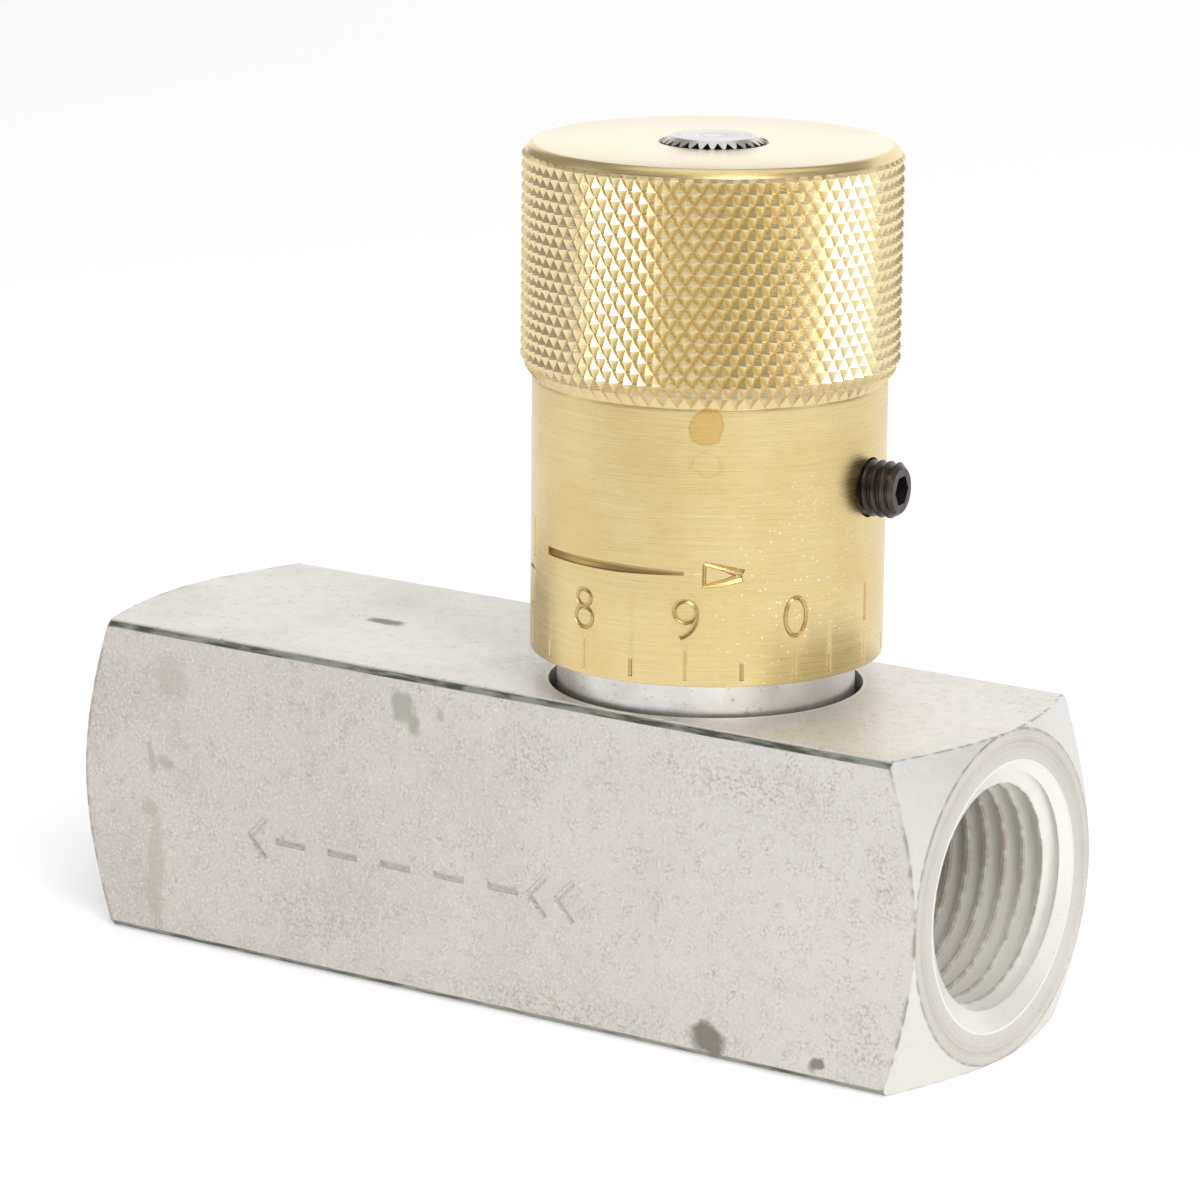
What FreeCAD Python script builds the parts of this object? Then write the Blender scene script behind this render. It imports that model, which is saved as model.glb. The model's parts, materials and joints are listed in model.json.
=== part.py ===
import FreeCAD, Part

import os
from math import cos, pi, radians, sin, sqrt, tan

Vector = FreeCAD.Vector

# A needle valve with a built-in reverse-flow check, in millimetres.
# Frame: origin at the centre of the body's bottom face, +X along the body towards the port on
# the knob's side, +Z up along the spindle. The valve is drawn as it rests: partly open, with
# its lock screw backed out and its check shut.

# ---- Body: square bar with two tapped ports on one line ----
BODY_LENGTH = 87.75
BODY_SECTION = 28.575         # 1 1/8 inch square bar
BODY_EDGE_BREAK = 0.54        # chamfer on the bar's long edges
END_RING_RADIUS = 14.26       # flat turned ring round each port
END_CONE_ANGLE = 26.0         # slope of the turned corners, from the end face
PORT_RADIUS = 9.3             # 1/2-14 NPT, mean over the crests of the tapered thread
PORT_DEPTH = 17.1
PORT_SINK_RADIUS = 11.45
PORT_SINK_DEPTH = 1.3

# ---- Straight bore, check valve and bypass galleries ----
PASSAGE_RADIUS = 4.5
CHECK_BORE_RADIUS = 8.55
CHECK_LAND = 0.79             # metal between the port's floor and the ring's groove
SEAT_LIP_WIDTH = 0.81
SEAT_LIP_HEIGHT = 0.72
GALLERY_RADIUS = 1.26
GALLERY_PITCH_RADIUS = 6.66
GALLERY_ANGLE = 15.0          # each side of straight up
GALLERY_OVERRUN = 0.45        # drilled this far into the metering chamber
POPPET_STROKE = 2.7
POPPET_NOSE_RADIUS = 6.12
POPPET_NOSE_LENGTH = 3.06
POPPET_TAPER_LENGTH = 3.06
POPPET_SKIRT_LENGTH = 4.86
POPPET_WALL = 1.62
POPPET_NECK_REACH = 0.54      # the narrow hollow runs this far into the nose
SPRING_SEAT_SETBACK = 0.27    # and ends this far inside the taper
POPPET_HOLE_RADIUS = 0.9
POPPET_HOLES = 6
SEAL_RADIUS = 5.445
SEAL_THICKNESS = 1.35
SEAL_WASHER_RADIUS = 3.87
SEAL_WASHER_THICKNESS = 0.72
SEAL_SCREW_RADIUS = 1.35
SEAL_SCREW_HEAD_RADIUS = 2.34
SEAL_SCREW_HEAD_HEIGHT = 1.44
SEAL_SCREW_SLOT_WIDTH = 0.72
SEAL_SCREW_SLOT_DEPTH = 0.72
SPRING_WIRE = 1.0
SPRING_TURNS = 4.5
SPRING_OUTER_GAP = 0.27       # radial, in the poppet's hollow
SPRING_INNER_GAP = 0.585      # radial, round the guide's sleeve
GUIDE_FLANGE = 1.89
GUIDE_SLEEVE_LENGTH = 2.7
GUIDE_SLEEVE_WALL = 0.72
RETAINING_RING_THICKNESS = 0.99
RETAINING_GROOVE_DEPTH = 0.675
RETAINING_RING_WIDTH = 1.44
RETAINING_RING_GAP = 40.0     # opening of the ring, in degrees
RETAINING_LUG_RADIUS = 1.44
RETAINING_LUG_INSET = 0.27    # the lugs' centres, in from the ring

# ---- Cross bore: seat, metering chamber and bonnet ----
BONNET_PORT_WALL = 1.93       # metal between the bonnet's thread and the port's floor
SEAT_FLOOR = 0.45             # metal between the straight bore and the seat's pocket
SEAT_POCKET_DEPTH = 0.9
SEAT_RING_RADIUS = 6.3
SEAT_RING_HEIGHT = 1.44
SEAT_RING_TAPER = 0.54        # the ring's top, in from its outside
ORIFICE_RADIUS = 3.42
ORIFICE_RELIEF = 0.54         # the hole below the seat is this much wider in radius
CHAMBER_RADIUS = 7.65
CHAMBER_HEIGHT = 2.16
BONNET_THREAD_RADIUS = 11.112
BONNET_NECK_RELIEF = 0.27     # neck under the collar, in from the thread
COLLAR_SHOULDER = 1.713       # collar, out from the thread
RECESS_GAP = 0.72             # recess, out from the collar
RECESS_DEPTH = 2.7
BONNET_COLLAR_SINK = 0.81     # the collar's lower edge, below the body's top
BONNET_HEX_INSET = 0.144      # the hexagon's corners, in from the collar
BONNET_HEX_HEIGHT = 4.14
BONNET_POST_WALL = 2.52
BONNET_CHAMFER = 0.45
BONNET_COLLAR_TOP = 9.225     # above the body's top
BONNET_POST_TOP = 29.925      # above the body's top

# ---- Spindle and its thread ----
STEM_PITCH = 1.27             # 7/16-20 thread
STEM_THREAD_RADIUS = 5.556
TURNS_OPEN = 2.0              # at rest
TURNS_FULL = 5.5              # from shut to fully open
NEEDLE_HALF_ANGLE = 21.5
NEEDLE_TIP_RADIUS = 0.72
NEEDLE_SHANK_RADIUS = 4.14
STEM_SEAL_RADIUS = 5.715
STEM_SEAL_LENGTH = 10.8
STEM_SEAL_BOTTOM = 3.06       # above the bonnet's lower end when the valve is shut
RING_SECTION = 1.26
RING_GROOVE_BELOW = 3.6       # plain length of the seal section under its groove
BACKUP_THICKNESS = 1.08
GROOVE_SLACK = 0.54
SERRATION_RADIUS = 4.365
SERRATION_LENGTH = 13.05
SERRATION_RELIEF = 0.225      # neck between thread and serrations, in from the serrations
SPINDLE_CHAMFER = 0.36
SPINDLE_TIP_RADIUS = 3.51
SPINDLE_PROUD = 0.54

# ---- Knob ----
SKIRT_WALL = 2.07
SKIRT_GAP_SHUT = 0.48         # skirt to body when the valve is shut
SKIRT_LENGTH = 23.58
KNURL_STEP = 1.035            # knurl, out from the skirt
KNURL_LENGTH = 19.98
KNURL_LOWER_CHAMFER = 1.53
KNURL_UPPER_CHAMFER = 1.08
KNURL_UPPER_INSET = 1.06      # flat top, in from the knurl
KNOB_STEP_GAP = 0.54          # knob's step to the collar's top when the valve is shut
KNOB_CEILING_GAP = 0.315      # knob's ceiling to the post's top when the valve is shut

# ---- Lock screw ----
LOCK_HEIGHT = 15.435          # axis above the skirt's lower edge
LOCK_ANGLE = 7.6              # from +X towards +Y
LOCK_RADIUS = 2.413           # 10-32 thread, 1/4 inch long
LOCK_LENGTH = 6.35
LOCK_GAP = 1.9                # pad to the bonnet's post, with the screw backed out
LOCK_POINT = 0.495
LOCK_SOCKET_FLATS = 2.38
LOCK_SOCKET_DEPTH = 2.9
PAD_THICKNESS = 1.44

# ---- Clearances ----
THREAD_CLEARANCE = 0.05       # radial, drawn between plain cylinders for each thread
PRESS_CLEARANCE = 0.01        # radial, drawn between pressed faces
RUNNING_CLEARANCE = 0.05      # radial, between sliding or turning pieces
COLLAR_CLEARANCE = 0.25       # radial, knob round the collar and the post
FACE_CLEARANCE = 0.02         # where flat faces of moving pieces meet
STOP_CLEARANCE = 0.05         # left at the end of a stroke

# ---- Derived places ----
BORE_Z = BODY_SECTION / 2
BODY_END = BODY_LENGTH / 2
LIFT_AT_REST = TURNS_OPEN * STEM_PITCH
LIFT_LEFT = (TURNS_FULL - TURNS_OPEN) * STEM_PITCH
POCKET_Z = BORE_Z + PASSAGE_RADIUS + SEAT_FLOOR
CHAMBER_Z = POCKET_Z + SEAT_POCKET_DEPTH
BONNET_Z = CHAMBER_Z + CHAMBER_HEIGHT
RECESS_Z = BODY_SECTION - RECESS_DEPTH
COLLAR_Z = BODY_SECTION - BONNET_COLLAR_SINK
COLLAR_TOP_Z = BODY_SECTION + BONNET_COLLAR_TOP
POST_TOP_Z = BODY_SECTION + BONNET_POST_TOP
SEAT_TOP_Z = POCKET_Z + SEAT_RING_HEIGHT
STEM_SEAL_Z = BONNET_Z + STEM_SEAL_BOTTOM + LIFT_AT_REST
STEM_SHOULDER_Z = STEM_SEAL_Z + STEM_SEAL_LENGTH
STEM_STOP_Z = STEM_SHOULDER_Z + LIFT_LEFT + STOP_CLEARANCE
RING_GROOVE_Z = STEM_SEAL_Z + RING_GROOVE_BELOW
RING_GROOVE_WIDTH = RING_SECTION + BACKUP_THICKNESS + GROOVE_SLACK
STEM_BORE_RADIUS = STEM_SEAL_RADIUS + RUNNING_CLEARANCE
BONNET_POST_RADIUS = STEM_BORE_RADIUS + BONNET_POST_WALL
BONNET_NECK_RADIUS = BONNET_THREAD_RADIUS - BONNET_NECK_RELIEF
BONNET_COLLAR_RADIUS = BONNET_THREAD_RADIUS + COLLAR_SHOULDER
RECESS_RADIUS = BONNET_COLLAR_RADIUS + RECESS_GAP
COLLAR_BORE_RADIUS = BONNET_COLLAR_RADIUS + COLLAR_CLEARANCE
SKIRT_RADIUS = COLLAR_BORE_RADIUS + SKIRT_WALL
KNURL_RADIUS = SKIRT_RADIUS + KNURL_STEP
KNOB_TOP_RADIUS = KNURL_RADIUS - KNURL_UPPER_INSET
PAD_START = BONNET_POST_RADIUS + LOCK_GAP
LOCK_START = PAD_START + PAD_THICKNESS + FACE_CLEARANCE
LOCK_END = LOCK_START + LOCK_LENGTH
GROOVE_FLOOR_RADIUS = STEM_BORE_RADIUS - RING_SECTION - 2 * RUNNING_CLEARANCE
SKIRT_Z = BODY_SECTION + SKIRT_GAP_SHUT + LIFT_AT_REST
KNURL_Z = SKIRT_Z + SKIRT_LENGTH
KNOB_TOP_Z = KNURL_Z + KNURL_LENGTH
KNOB_STEP_Z = COLLAR_TOP_Z + LIFT_AT_REST + KNOB_STEP_GAP
KNOB_CEILING_Z = POST_TOP_Z + LIFT_AT_REST + KNOB_CEILING_GAP
LOCK_Z = SKIRT_Z + LOCK_HEIGHT
PORT_FLOOR = BODY_END - PORT_DEPTH
KNOB_OFFSET = PORT_FLOOR - BONNET_PORT_WALL - BONNET_THREAD_RADIUS - THREAD_CLEARANCE
RETAINING_BACK_X = -PORT_FLOOR + CHECK_LAND
GUIDE_BACK_X = RETAINING_BACK_X + RETAINING_RING_THICKNESS
GUIDE_X = GUIDE_BACK_X + GUIDE_FLANGE
POPPET_END_X = GUIDE_X + STOP_CLEARANCE + POPPET_STROKE
SKIRT_X = POPPET_END_X + POPPET_SKIRT_LENGTH
TAPER_X = SKIRT_X + POPPET_TAPER_LENGTH
NOSE_X = TAPER_X + POPPET_NOSE_LENGTH
LIP_X = NOSE_X + FACE_CLEARANCE
CHECK_SEAT_X = LIP_X + SEAT_LIP_HEIGHT
SEAL_BACK_X = NOSE_X - SEAL_THICKNESS
POPPET_RADIUS = CHECK_BORE_RADIUS - RUNNING_CLEARANCE
POPPET_HOLLOW_RADIUS = POPPET_RADIUS - POPPET_WALL
SPRING_RADIUS = POPPET_HOLLOW_RADIUS - SPRING_OUTER_GAP - SPRING_WIRE / 2
GUIDE_SLEEVE_RADIUS = SPRING_RADIUS - SPRING_WIRE / 2 - SPRING_INNER_GAP
POPPET_NECK_RADIUS = GUIDE_SLEEVE_RADIUS - GUIDE_SLEEVE_WALL
SPRING_SEAT_X = SKIRT_X + SPRING_SEAT_SETBACK
POPPET_NECK_X = TAPER_X + POPPET_NECK_REACH


def turned_on(centre, direction, across, outline):
    """Solid of revolution: outline is (distance along, radius) points about a line."""
    points = [centre + direction * along + across * radius for along, radius in outline]
    face = Part.Face(Part.makePolygon(points + points[:1]))
    return face.revolve(centre, direction, 360)


def turned_upright(outline):
    """Turned about the spindle's axis: outline is (radius, height) points."""
    centre = Vector(KNOB_OFFSET, 0, 0)
    return turned_on(centre, Vector(0, 0, 1), Vector(1, 0, 0), [(z, r) for r, z in outline])


def turned_along(outline):
    """Turned about the straight bore: outline is (x, radius) points."""
    return turned_on(Vector(0, 0, BORE_Z), Vector(1, 0, 0), Vector(0, 0, 1), outline)


def rod_along(radius, start, end, y=0.0, z=BORE_Z):
    """Cylinder parallel to X, from x = start to x = end."""
    return Part.makeCylinder(radius, end - start, Vector(start, y, z), Vector(1, 0, 0))


def rod_upright(radius, bottom, top):
    """Cylinder on the spindle's axis."""
    return Part.makeCylinder(radius, top - bottom, Vector(KNOB_OFFSET, 0, bottom))


def hexagon_prism(flats, centre, direction, height, across):
    """Hexagon prism along direction, with a corner towards across."""
    corner = flats / sqrt(3)
    side = direction.cross(across)
    points = []
    for k in range(6):
        angle = k * pi / 3
        points.append(centre + across * (corner * cos(angle)) + side * (corner * sin(angle)))
    return Part.Face(Part.makePolygon(points + points[:1])).extrude(direction * height)


def square_bar():
    half = BODY_SECTION / 2
    cut = BODY_EDGE_BREAK
    section = [
        (half - cut, 0), (half, cut), (half, BODY_SECTION - cut), (half - cut, BODY_SECTION),
        (cut - half, BODY_SECTION), (-half, BODY_SECTION - cut), (-half, cut), (cut - half, 0),
    ]
    points = [Vector(-BODY_END, y, z) for y, z in section]
    bar = Part.Face(Part.makePolygon(points + points[:1])).extrude(Vector(BODY_LENGTH, 0, 0))
    reach = BODY_SECTION
    slope = (reach - END_RING_RADIUS) * tan(radians(END_CONE_ANGLE))
    turned = turned_along([
        (-BODY_END, 0), (-BODY_END, END_RING_RADIUS), (-BODY_END + slope, reach),
        (BODY_END - slope, reach), (BODY_END, END_RING_RADIUS), (BODY_END, 0),
    ])
    return bar.common(turned)


def port(side):
    """Cutter for one port: side is 1 for the knob's side and -1 for the other."""
    mouth = side * BODY_END
    floor = side * PORT_FLOOR
    sink = side * (BODY_END - PORT_SINK_DEPTH)
    return turned_along([
        (floor, 0), (floor, PORT_RADIUS), (sink, PORT_RADIUS), (mouth, PORT_SINK_RADIUS), (mouth, 0),
    ])


def check_chamber():
    """Cutter for the check's bore, which leaves a raised lip round the passage."""
    lip = PASSAGE_RADIUS + SEAT_LIP_WIDTH
    groove = CHECK_BORE_RADIUS + RETAINING_GROOVE_DEPTH
    return turned_along([
        (-PORT_FLOOR, 0), (-PORT_FLOOR, CHECK_BORE_RADIUS),
        (RETAINING_BACK_X - RUNNING_CLEARANCE, CHECK_BORE_RADIUS),
        (RETAINING_BACK_X - RUNNING_CLEARANCE, groove), (GUIDE_BACK_X, groove),
        (GUIDE_BACK_X, CHECK_BORE_RADIUS), (CHECK_SEAT_X, CHECK_BORE_RADIUS),
        (CHECK_SEAT_X, lip), (LIP_X, lip), (LIP_X, 0),
    ])


def cross_bore():
    """Cutter for the bonnet's thread, recess, metering chamber and seat pocket."""
    return turned_upright([
        (0, BORE_Z), (ORIFICE_RADIUS + ORIFICE_RELIEF, BORE_Z),
        (ORIFICE_RADIUS + ORIFICE_RELIEF, POCKET_Z), (SEAT_RING_RADIUS, POCKET_Z),
        (SEAT_RING_RADIUS, CHAMBER_Z), (CHAMBER_RADIUS, CHAMBER_Z), (CHAMBER_RADIUS, BONNET_Z),
        (BONNET_THREAD_RADIUS + THREAD_CLEARANCE, BONNET_Z),
        (BONNET_THREAD_RADIUS + THREAD_CLEARANCE, RECESS_Z), (RECESS_RADIUS, RECESS_Z),
        (RECESS_RADIUS, BODY_SECTION), (0, BODY_SECTION),
    ])


def gallery(angle):
    """Cutter for one bypass gallery, drilled from the check's chamber to the metering chamber."""
    y = GALLERY_PITCH_RADIUS * sin(radians(angle))
    z = BORE_Z + GALLERY_PITCH_RADIUS * cos(radians(angle))
    furthest = abs(y) + GALLERY_RADIUS
    end = KNOB_OFFSET - sqrt(CHAMBER_RADIUS**2 - furthest**2) + GALLERY_OVERRUN
    return rod_along(GALLERY_RADIUS, CHECK_SEAT_X, end, y, z)


def valve_body():
    body = square_bar()
    cutters = [port(1), port(-1), check_chamber(), cross_bore()]
    cutters.append(rod_along(PASSAGE_RADIUS, LIP_X, PORT_FLOOR))
    cutters += [gallery(GALLERY_ANGLE), gallery(-GALLERY_ANGLE)]
    for cutter in cutters:
        body = body.cut(cutter)
    return body


def needle_seat():
    outer = SEAT_RING_RADIUS - PRESS_CLEARANCE
    return turned_upright([
        (ORIFICE_RADIUS, POCKET_Z), (outer, POCKET_Z), (outer, CHAMBER_Z),
        (outer - SEAT_RING_TAPER, SEAT_TOP_Z), (ORIFICE_RADIUS, SEAT_TOP_Z),
    ])


def bonnet():
    thread = BONNET_THREAD_RADIUS
    collar = BONNET_COLLAR_RADIUS
    post = BONNET_POST_RADIUS
    chamfer = BONNET_CHAMFER
    turned = turned_upright([
        (STEM_BORE_RADIUS, BONNET_Z), (thread - chamfer, BONNET_Z), (thread, BONNET_Z + chamfer),
        (thread, RECESS_Z), (BONNET_NECK_RADIUS, RECESS_Z), (BONNET_NECK_RADIUS, COLLAR_Z),
        (collar, COLLAR_Z), (collar, COLLAR_TOP_Z), (post, COLLAR_TOP_Z),
        (post, POST_TOP_Z - chamfer), (post - chamfer, POST_TOP_Z),
        (STEM_THREAD_RADIUS + THREAD_CLEARANCE, POST_TOP_Z),
        (STEM_THREAD_RADIUS + THREAD_CLEARANCE, STEM_STOP_Z), (STEM_BORE_RADIUS, STEM_STOP_Z),
    ])
    hex_z = COLLAR_TOP_Z - BONNET_HEX_HEIGHT
    around = rod_upright(collar + 1, hex_z, COLLAR_TOP_Z)
    centre = Vector(KNOB_OFFSET, 0, hex_z)
    across_flats = sqrt(3) * (collar - BONNET_HEX_INSET)
    flats = hexagon_prism(
        across_flats, centre, Vector(0, 0, 1), BONNET_HEX_HEIGHT, Vector(1, 0, 0)
    )
    return turned.cut(around.cut(flats))


def bonnet_o_ring():
    """Fills the recess between the bonnet's neck, the collar and the recess floor."""
    height = COLLAR_Z - RECESS_Z
    section = height / 2
    middle = (BONNET_NECK_RADIUS + RECESS_RADIUS) / 2
    return Part.makeTorus(middle, section, Vector(KNOB_OFFSET, 0, RECESS_Z + section))


def needle_spindle():
    slope = tan(radians(NEEDLE_HALF_ANGLE))
    seat_z = SEAT_TOP_Z + LIFT_AT_REST
    gap = RUNNING_CLEARANCE
    tip_z = seat_z - (ORIFICE_RADIUS - gap - NEEDLE_TIP_RADIUS) / slope
    shank_z = seat_z + (NEEDLE_SHANK_RADIUS - ORIFICE_RADIUS + gap) / slope
    seal = STEM_SEAL_RADIUS
    chamfer = SPINDLE_CHAMFER
    groove_top = RING_GROOVE_Z + RING_GROOVE_WIDTH
    serration_z = KNOB_TOP_Z - SERRATION_LENGTH
    relief = SERRATION_RADIUS - SERRATION_RELIEF
    thread_top = KNOB_CEILING_Z - STOP_CLEARANCE
    return turned_upright([
        (0, tip_z), (NEEDLE_TIP_RADIUS, tip_z), (NEEDLE_SHANK_RADIUS, shank_z),
        (NEEDLE_SHANK_RADIUS, STEM_SEAL_Z), (seal - chamfer, STEM_SEAL_Z),
        (seal, STEM_SEAL_Z + chamfer), (seal, RING_GROOVE_Z), (GROOVE_FLOOR_RADIUS, RING_GROOVE_Z),
        (GROOVE_FLOOR_RADIUS, groove_top), (seal, groove_top), (seal, STEM_SHOULDER_Z),
        (STEM_THREAD_RADIUS, STEM_SHOULDER_Z), (STEM_THREAD_RADIUS, thread_top),
        (relief, thread_top), (relief, serration_z), (SERRATION_RADIUS, serration_z),
        (SERRATION_RADIUS, KNOB_TOP_Z), (SPINDLE_TIP_RADIUS, KNOB_TOP_Z + SPINDLE_PROUD),
        (0, KNOB_TOP_Z + SPINDLE_PROUD),
    ])


def stem_o_ring():
    middle = GROOVE_FLOOR_RADIUS + RUNNING_CLEARANCE + RING_SECTION / 2
    height = RING_GROOVE_Z + FACE_CLEARANCE + RING_SECTION / 2
    return Part.makeTorus(middle, RING_SECTION / 2, Vector(KNOB_OFFSET, 0, height))


def stem_backup_ring():
    inner = GROOVE_FLOOR_RADIUS + RUNNING_CLEARANCE
    outer = STEM_BORE_RADIUS - RUNNING_CLEARANCE
    top = RING_GROOVE_Z + RING_GROOVE_WIDTH - FACE_CLEARANCE
    bottom = top - BACKUP_THICKNESS
    return rod_upright(outer, bottom, top).cut(rod_upright(inner, bottom, top))


def lock_line():
    """The lock screw's axis: its direction outward, and the point where it meets the spindle's."""
    outward = Vector(cos(radians(LOCK_ANGLE)), sin(radians(LOCK_ANGLE)), 0)
    return Vector(KNOB_OFFSET, 0, LOCK_Z), outward


def rod_on_lock_line(radius, start, end):
    """Cylinder on the lock screw's axis, start and end measured from the spindle's axis."""
    centre, outward = lock_line()
    return Part.makeCylinder(radius, end - start, centre + outward * start, outward)


def adjusting_knob():
    post_bore = BONNET_POST_RADIUS + COLLAR_CLEARANCE
    hub_bore = SERRATION_RADIUS + PRESS_CLEARANCE
    knob = turned_upright([
        (COLLAR_BORE_RADIUS, SKIRT_Z), (SKIRT_RADIUS, SKIRT_Z), (SKIRT_RADIUS, KNURL_Z),
        (KNURL_RADIUS, KNURL_Z + KNURL_LOWER_CHAMFER),
        (KNURL_RADIUS, KNOB_TOP_Z - KNURL_UPPER_CHAMFER), (KNOB_TOP_RADIUS, KNOB_TOP_Z),
        (hub_bore, KNOB_TOP_Z), (hub_bore, KNOB_CEILING_Z),
        (post_bore, KNOB_CEILING_Z), (post_bore, KNOB_STEP_Z), (COLLAR_BORE_RADIUS, KNOB_STEP_Z),
    ])
    return knob.cut(rod_on_lock_line(LOCK_RADIUS + THREAD_CLEARANCE, 0, SKIRT_RADIUS + 1))


def lock_screw():
    centre, outward = lock_line()
    up = Vector(0, 0, 1)
    chamfer = LOCK_POINT
    screw = turned_on(centre, outward, up, [
        (LOCK_START, 0), (LOCK_START, LOCK_RADIUS - chamfer), (LOCK_START + chamfer, LOCK_RADIUS),
        (LOCK_END - chamfer, LOCK_RADIUS), (LOCK_END, LOCK_RADIUS - chamfer), (LOCK_END, 0),
    ])
    mouth = centre + outward * LOCK_END
    socket = hexagon_prism(LOCK_SOCKET_FLATS, mouth, outward * -1, LOCK_SOCKET_DEPTH, up)
    return screw.cut(socket)


def lock_pad():
    return rod_on_lock_line(LOCK_RADIUS - RUNNING_CLEARANCE, PAD_START, PAD_START + PAD_THICKNESS)


def check_poppet():
    inner = POPPET_HOLLOW_RADIUS
    poppet = turned_along([
        (NOSE_X, SEAL_RADIUS), (NOSE_X, POPPET_NOSE_RADIUS), (TAPER_X, POPPET_NOSE_RADIUS),
        (SKIRT_X, POPPET_RADIUS), (POPPET_END_X, POPPET_RADIUS), (POPPET_END_X, inner),
        (SPRING_SEAT_X, inner), (SPRING_SEAT_X, POPPET_NECK_RADIUS),
        (POPPET_NECK_X, POPPET_NECK_RADIUS), (POPPET_NECK_X, SEAL_SCREW_RADIUS),
        (SEAL_BACK_X, SEAL_SCREW_RADIUS), (SEAL_BACK_X, SEAL_RADIUS),
    ])
    hole_x = (POPPET_NECK_X + SPRING_SEAT_X) / 2
    inside = POPPET_NECK_RADIUS / 2
    holes = []
    for k in range(POPPET_HOLES):
        angle = 2 * pi * (k + 0.5) / POPPET_HOLES
        outward = Vector(0, sin(angle), cos(angle))
        start = Vector(hole_x, 0, BORE_Z) + outward * inside
        holes.append(Part.makeCylinder(POPPET_HOLE_RADIUS, POPPET_RADIUS - inside, start, outward))
    return poppet.cut(holes)


def poppet_seal():
    disc = rod_along(SEAL_RADIUS, SEAL_BACK_X, NOSE_X)
    return disc.cut(rod_along(SEAL_SCREW_RADIUS, SEAL_BACK_X, NOSE_X))


def seal_washer():
    end = NOSE_X + SEAL_WASHER_THICKNESS
    disc = rod_along(SEAL_WASHER_RADIUS, NOSE_X, end)
    return disc.cut(rod_along(SEAL_SCREW_RADIUS, NOSE_X, end))


def seal_screw():
    head_x = NOSE_X + SEAL_WASHER_THICKNESS
    face_x = head_x + SEAL_SCREW_HEAD_HEIGHT
    screw = turned_along([
        (POPPET_NECK_X, 0), (POPPET_NECK_X, SEAL_SCREW_RADIUS), (head_x, SEAL_SCREW_RADIUS),
        (head_x, SEAL_SCREW_HEAD_RADIUS), (face_x, SEAL_SCREW_HEAD_RADIUS), (face_x, 0),
    ])
    width = 2 * SEAL_SCREW_HEAD_RADIUS
    corner = Vector(face_x - SEAL_SCREW_SLOT_DEPTH, -width / 2, BORE_Z - SEAL_SCREW_SLOT_WIDTH / 2)
    return screw.cut(Part.makeBox(SEAL_SCREW_SLOT_DEPTH, width, SEAL_SCREW_SLOT_WIDTH, corner))


def check_spring():
    """Compression spring with ground ends, from the guide's flange to the poppet's shoulder."""
    middle = SPRING_RADIUS
    length = SPRING_SEAT_X - GUIDE_X
    pitch = length / SPRING_TURNS
    coil = Part.makeHelix(pitch, length, middle)
    section = Part.makeCircle(SPRING_WIRE / 2, Vector(middle, 0, 0), Vector(0, 1, 0))
    wire = Part.Wire(coil).makePipeShell([Part.Wire(section)], True, True)
    wire.rotate(Vector(0, 0, 0), Vector(0, 1, 0), 90)
    wire.translate(Vector(GUIDE_X, 0, BORE_Z))
    return wire.common(rod_along(POPPET_HOLLOW_RADIUS, GUIDE_X, SPRING_SEAT_X))


def spring_guide():
    outer = CHECK_BORE_RADIUS - RUNNING_CLEARANCE
    sleeve = GUIDE_SLEEVE_RADIUS
    return turned_along([
        (GUIDE_BACK_X, POPPET_NECK_RADIUS), (GUIDE_BACK_X, outer), (GUIDE_X, outer),
        (GUIDE_X, sleeve), (GUIDE_X + GUIDE_SLEEVE_LENGTH, sleeve),
        (GUIDE_X + GUIDE_SLEEVE_LENGTH, POPPET_NECK_RADIUS),
    ])


def retaining_ring():
    outer = CHECK_BORE_RADIUS + RETAINING_GROOVE_DEPTH - RUNNING_CLEARANCE
    inner = outer - RETAINING_RING_WIDTH
    ring = rod_along(outer, RETAINING_BACK_X, GUIDE_BACK_X)
    ring = ring.cut(rod_along(inner, RETAINING_BACK_X, GUIDE_BACK_X))
    half = radians(RETAINING_RING_GAP / 2)
    reach = 2 * outer
    corners = [(0, 0), (reach * sin(half), -reach * cos(half)), (-reach * sin(half), -reach * cos(half))]
    points = [Vector(RETAINING_BACK_X, y, BORE_Z + z) for y, z in corners]
    opening = Part.Face(Part.makePolygon(points + points[:1]))
    ring = ring.cut(opening.extrude(Vector(RETAINING_RING_THICKNESS, 0, 0)))
    lug_line = inner - RETAINING_LUG_INSET
    turn = half + RETAINING_LUG_RADIUS / inner
    for side in (1, -1):
        y = side * lug_line * sin(turn)
        z = BORE_Z - lug_line * cos(turn)
        lug = rod_along(RETAINING_LUG_RADIUS, RETAINING_BACK_X, GUIDE_BACK_X, y, z)
        hole = rod_along(RETAINING_LUG_RADIUS / 2, RETAINING_BACK_X, GUIDE_BACK_X, y, z)
        inside = rod_along(outer, RETAINING_BACK_X, GUIDE_BACK_X)
        ring = ring.fuse(lug.common(inside)).cut(hole)
    return ring


PIECES = [
    valve_body, needle_seat, bonnet, bonnet_o_ring, needle_spindle, stem_o_ring, stem_backup_ring,
    adjusting_knob, lock_screw, lock_pad, check_poppet, poppet_seal, seal_washer, seal_screw,
    check_spring, spring_guide, retaining_ring,
]

os.makedirs("parts", exist_ok=True)
for piece in PIECES:
    shape = piece()
    solids = shape.Solids
    print(piece.__name__, "solids", len(solids), "valid", shape.isValid(), "mm3", round(shape.Volume, 2))
    shape = solids[0] if len(solids) == 1 else shape
    shape.exportStep("parts/" + piece.__name__ + ".step")
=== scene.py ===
# %% [markdown]
# # A needle valve with a brass adjusting knob
# A square steel bar holds the passage, and a knurled brass knob turns a needle that opens or
# closes it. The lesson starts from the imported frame, whose pieces are already where they
# belong, and gives the visible ones what a plain solid lacks: screw threads, a knurl, engraved
# figures, and the finish of plated steel and worn brass.

import json
import math

import bmesh
import bpy
from mathutils import Matrix, Vector


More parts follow.
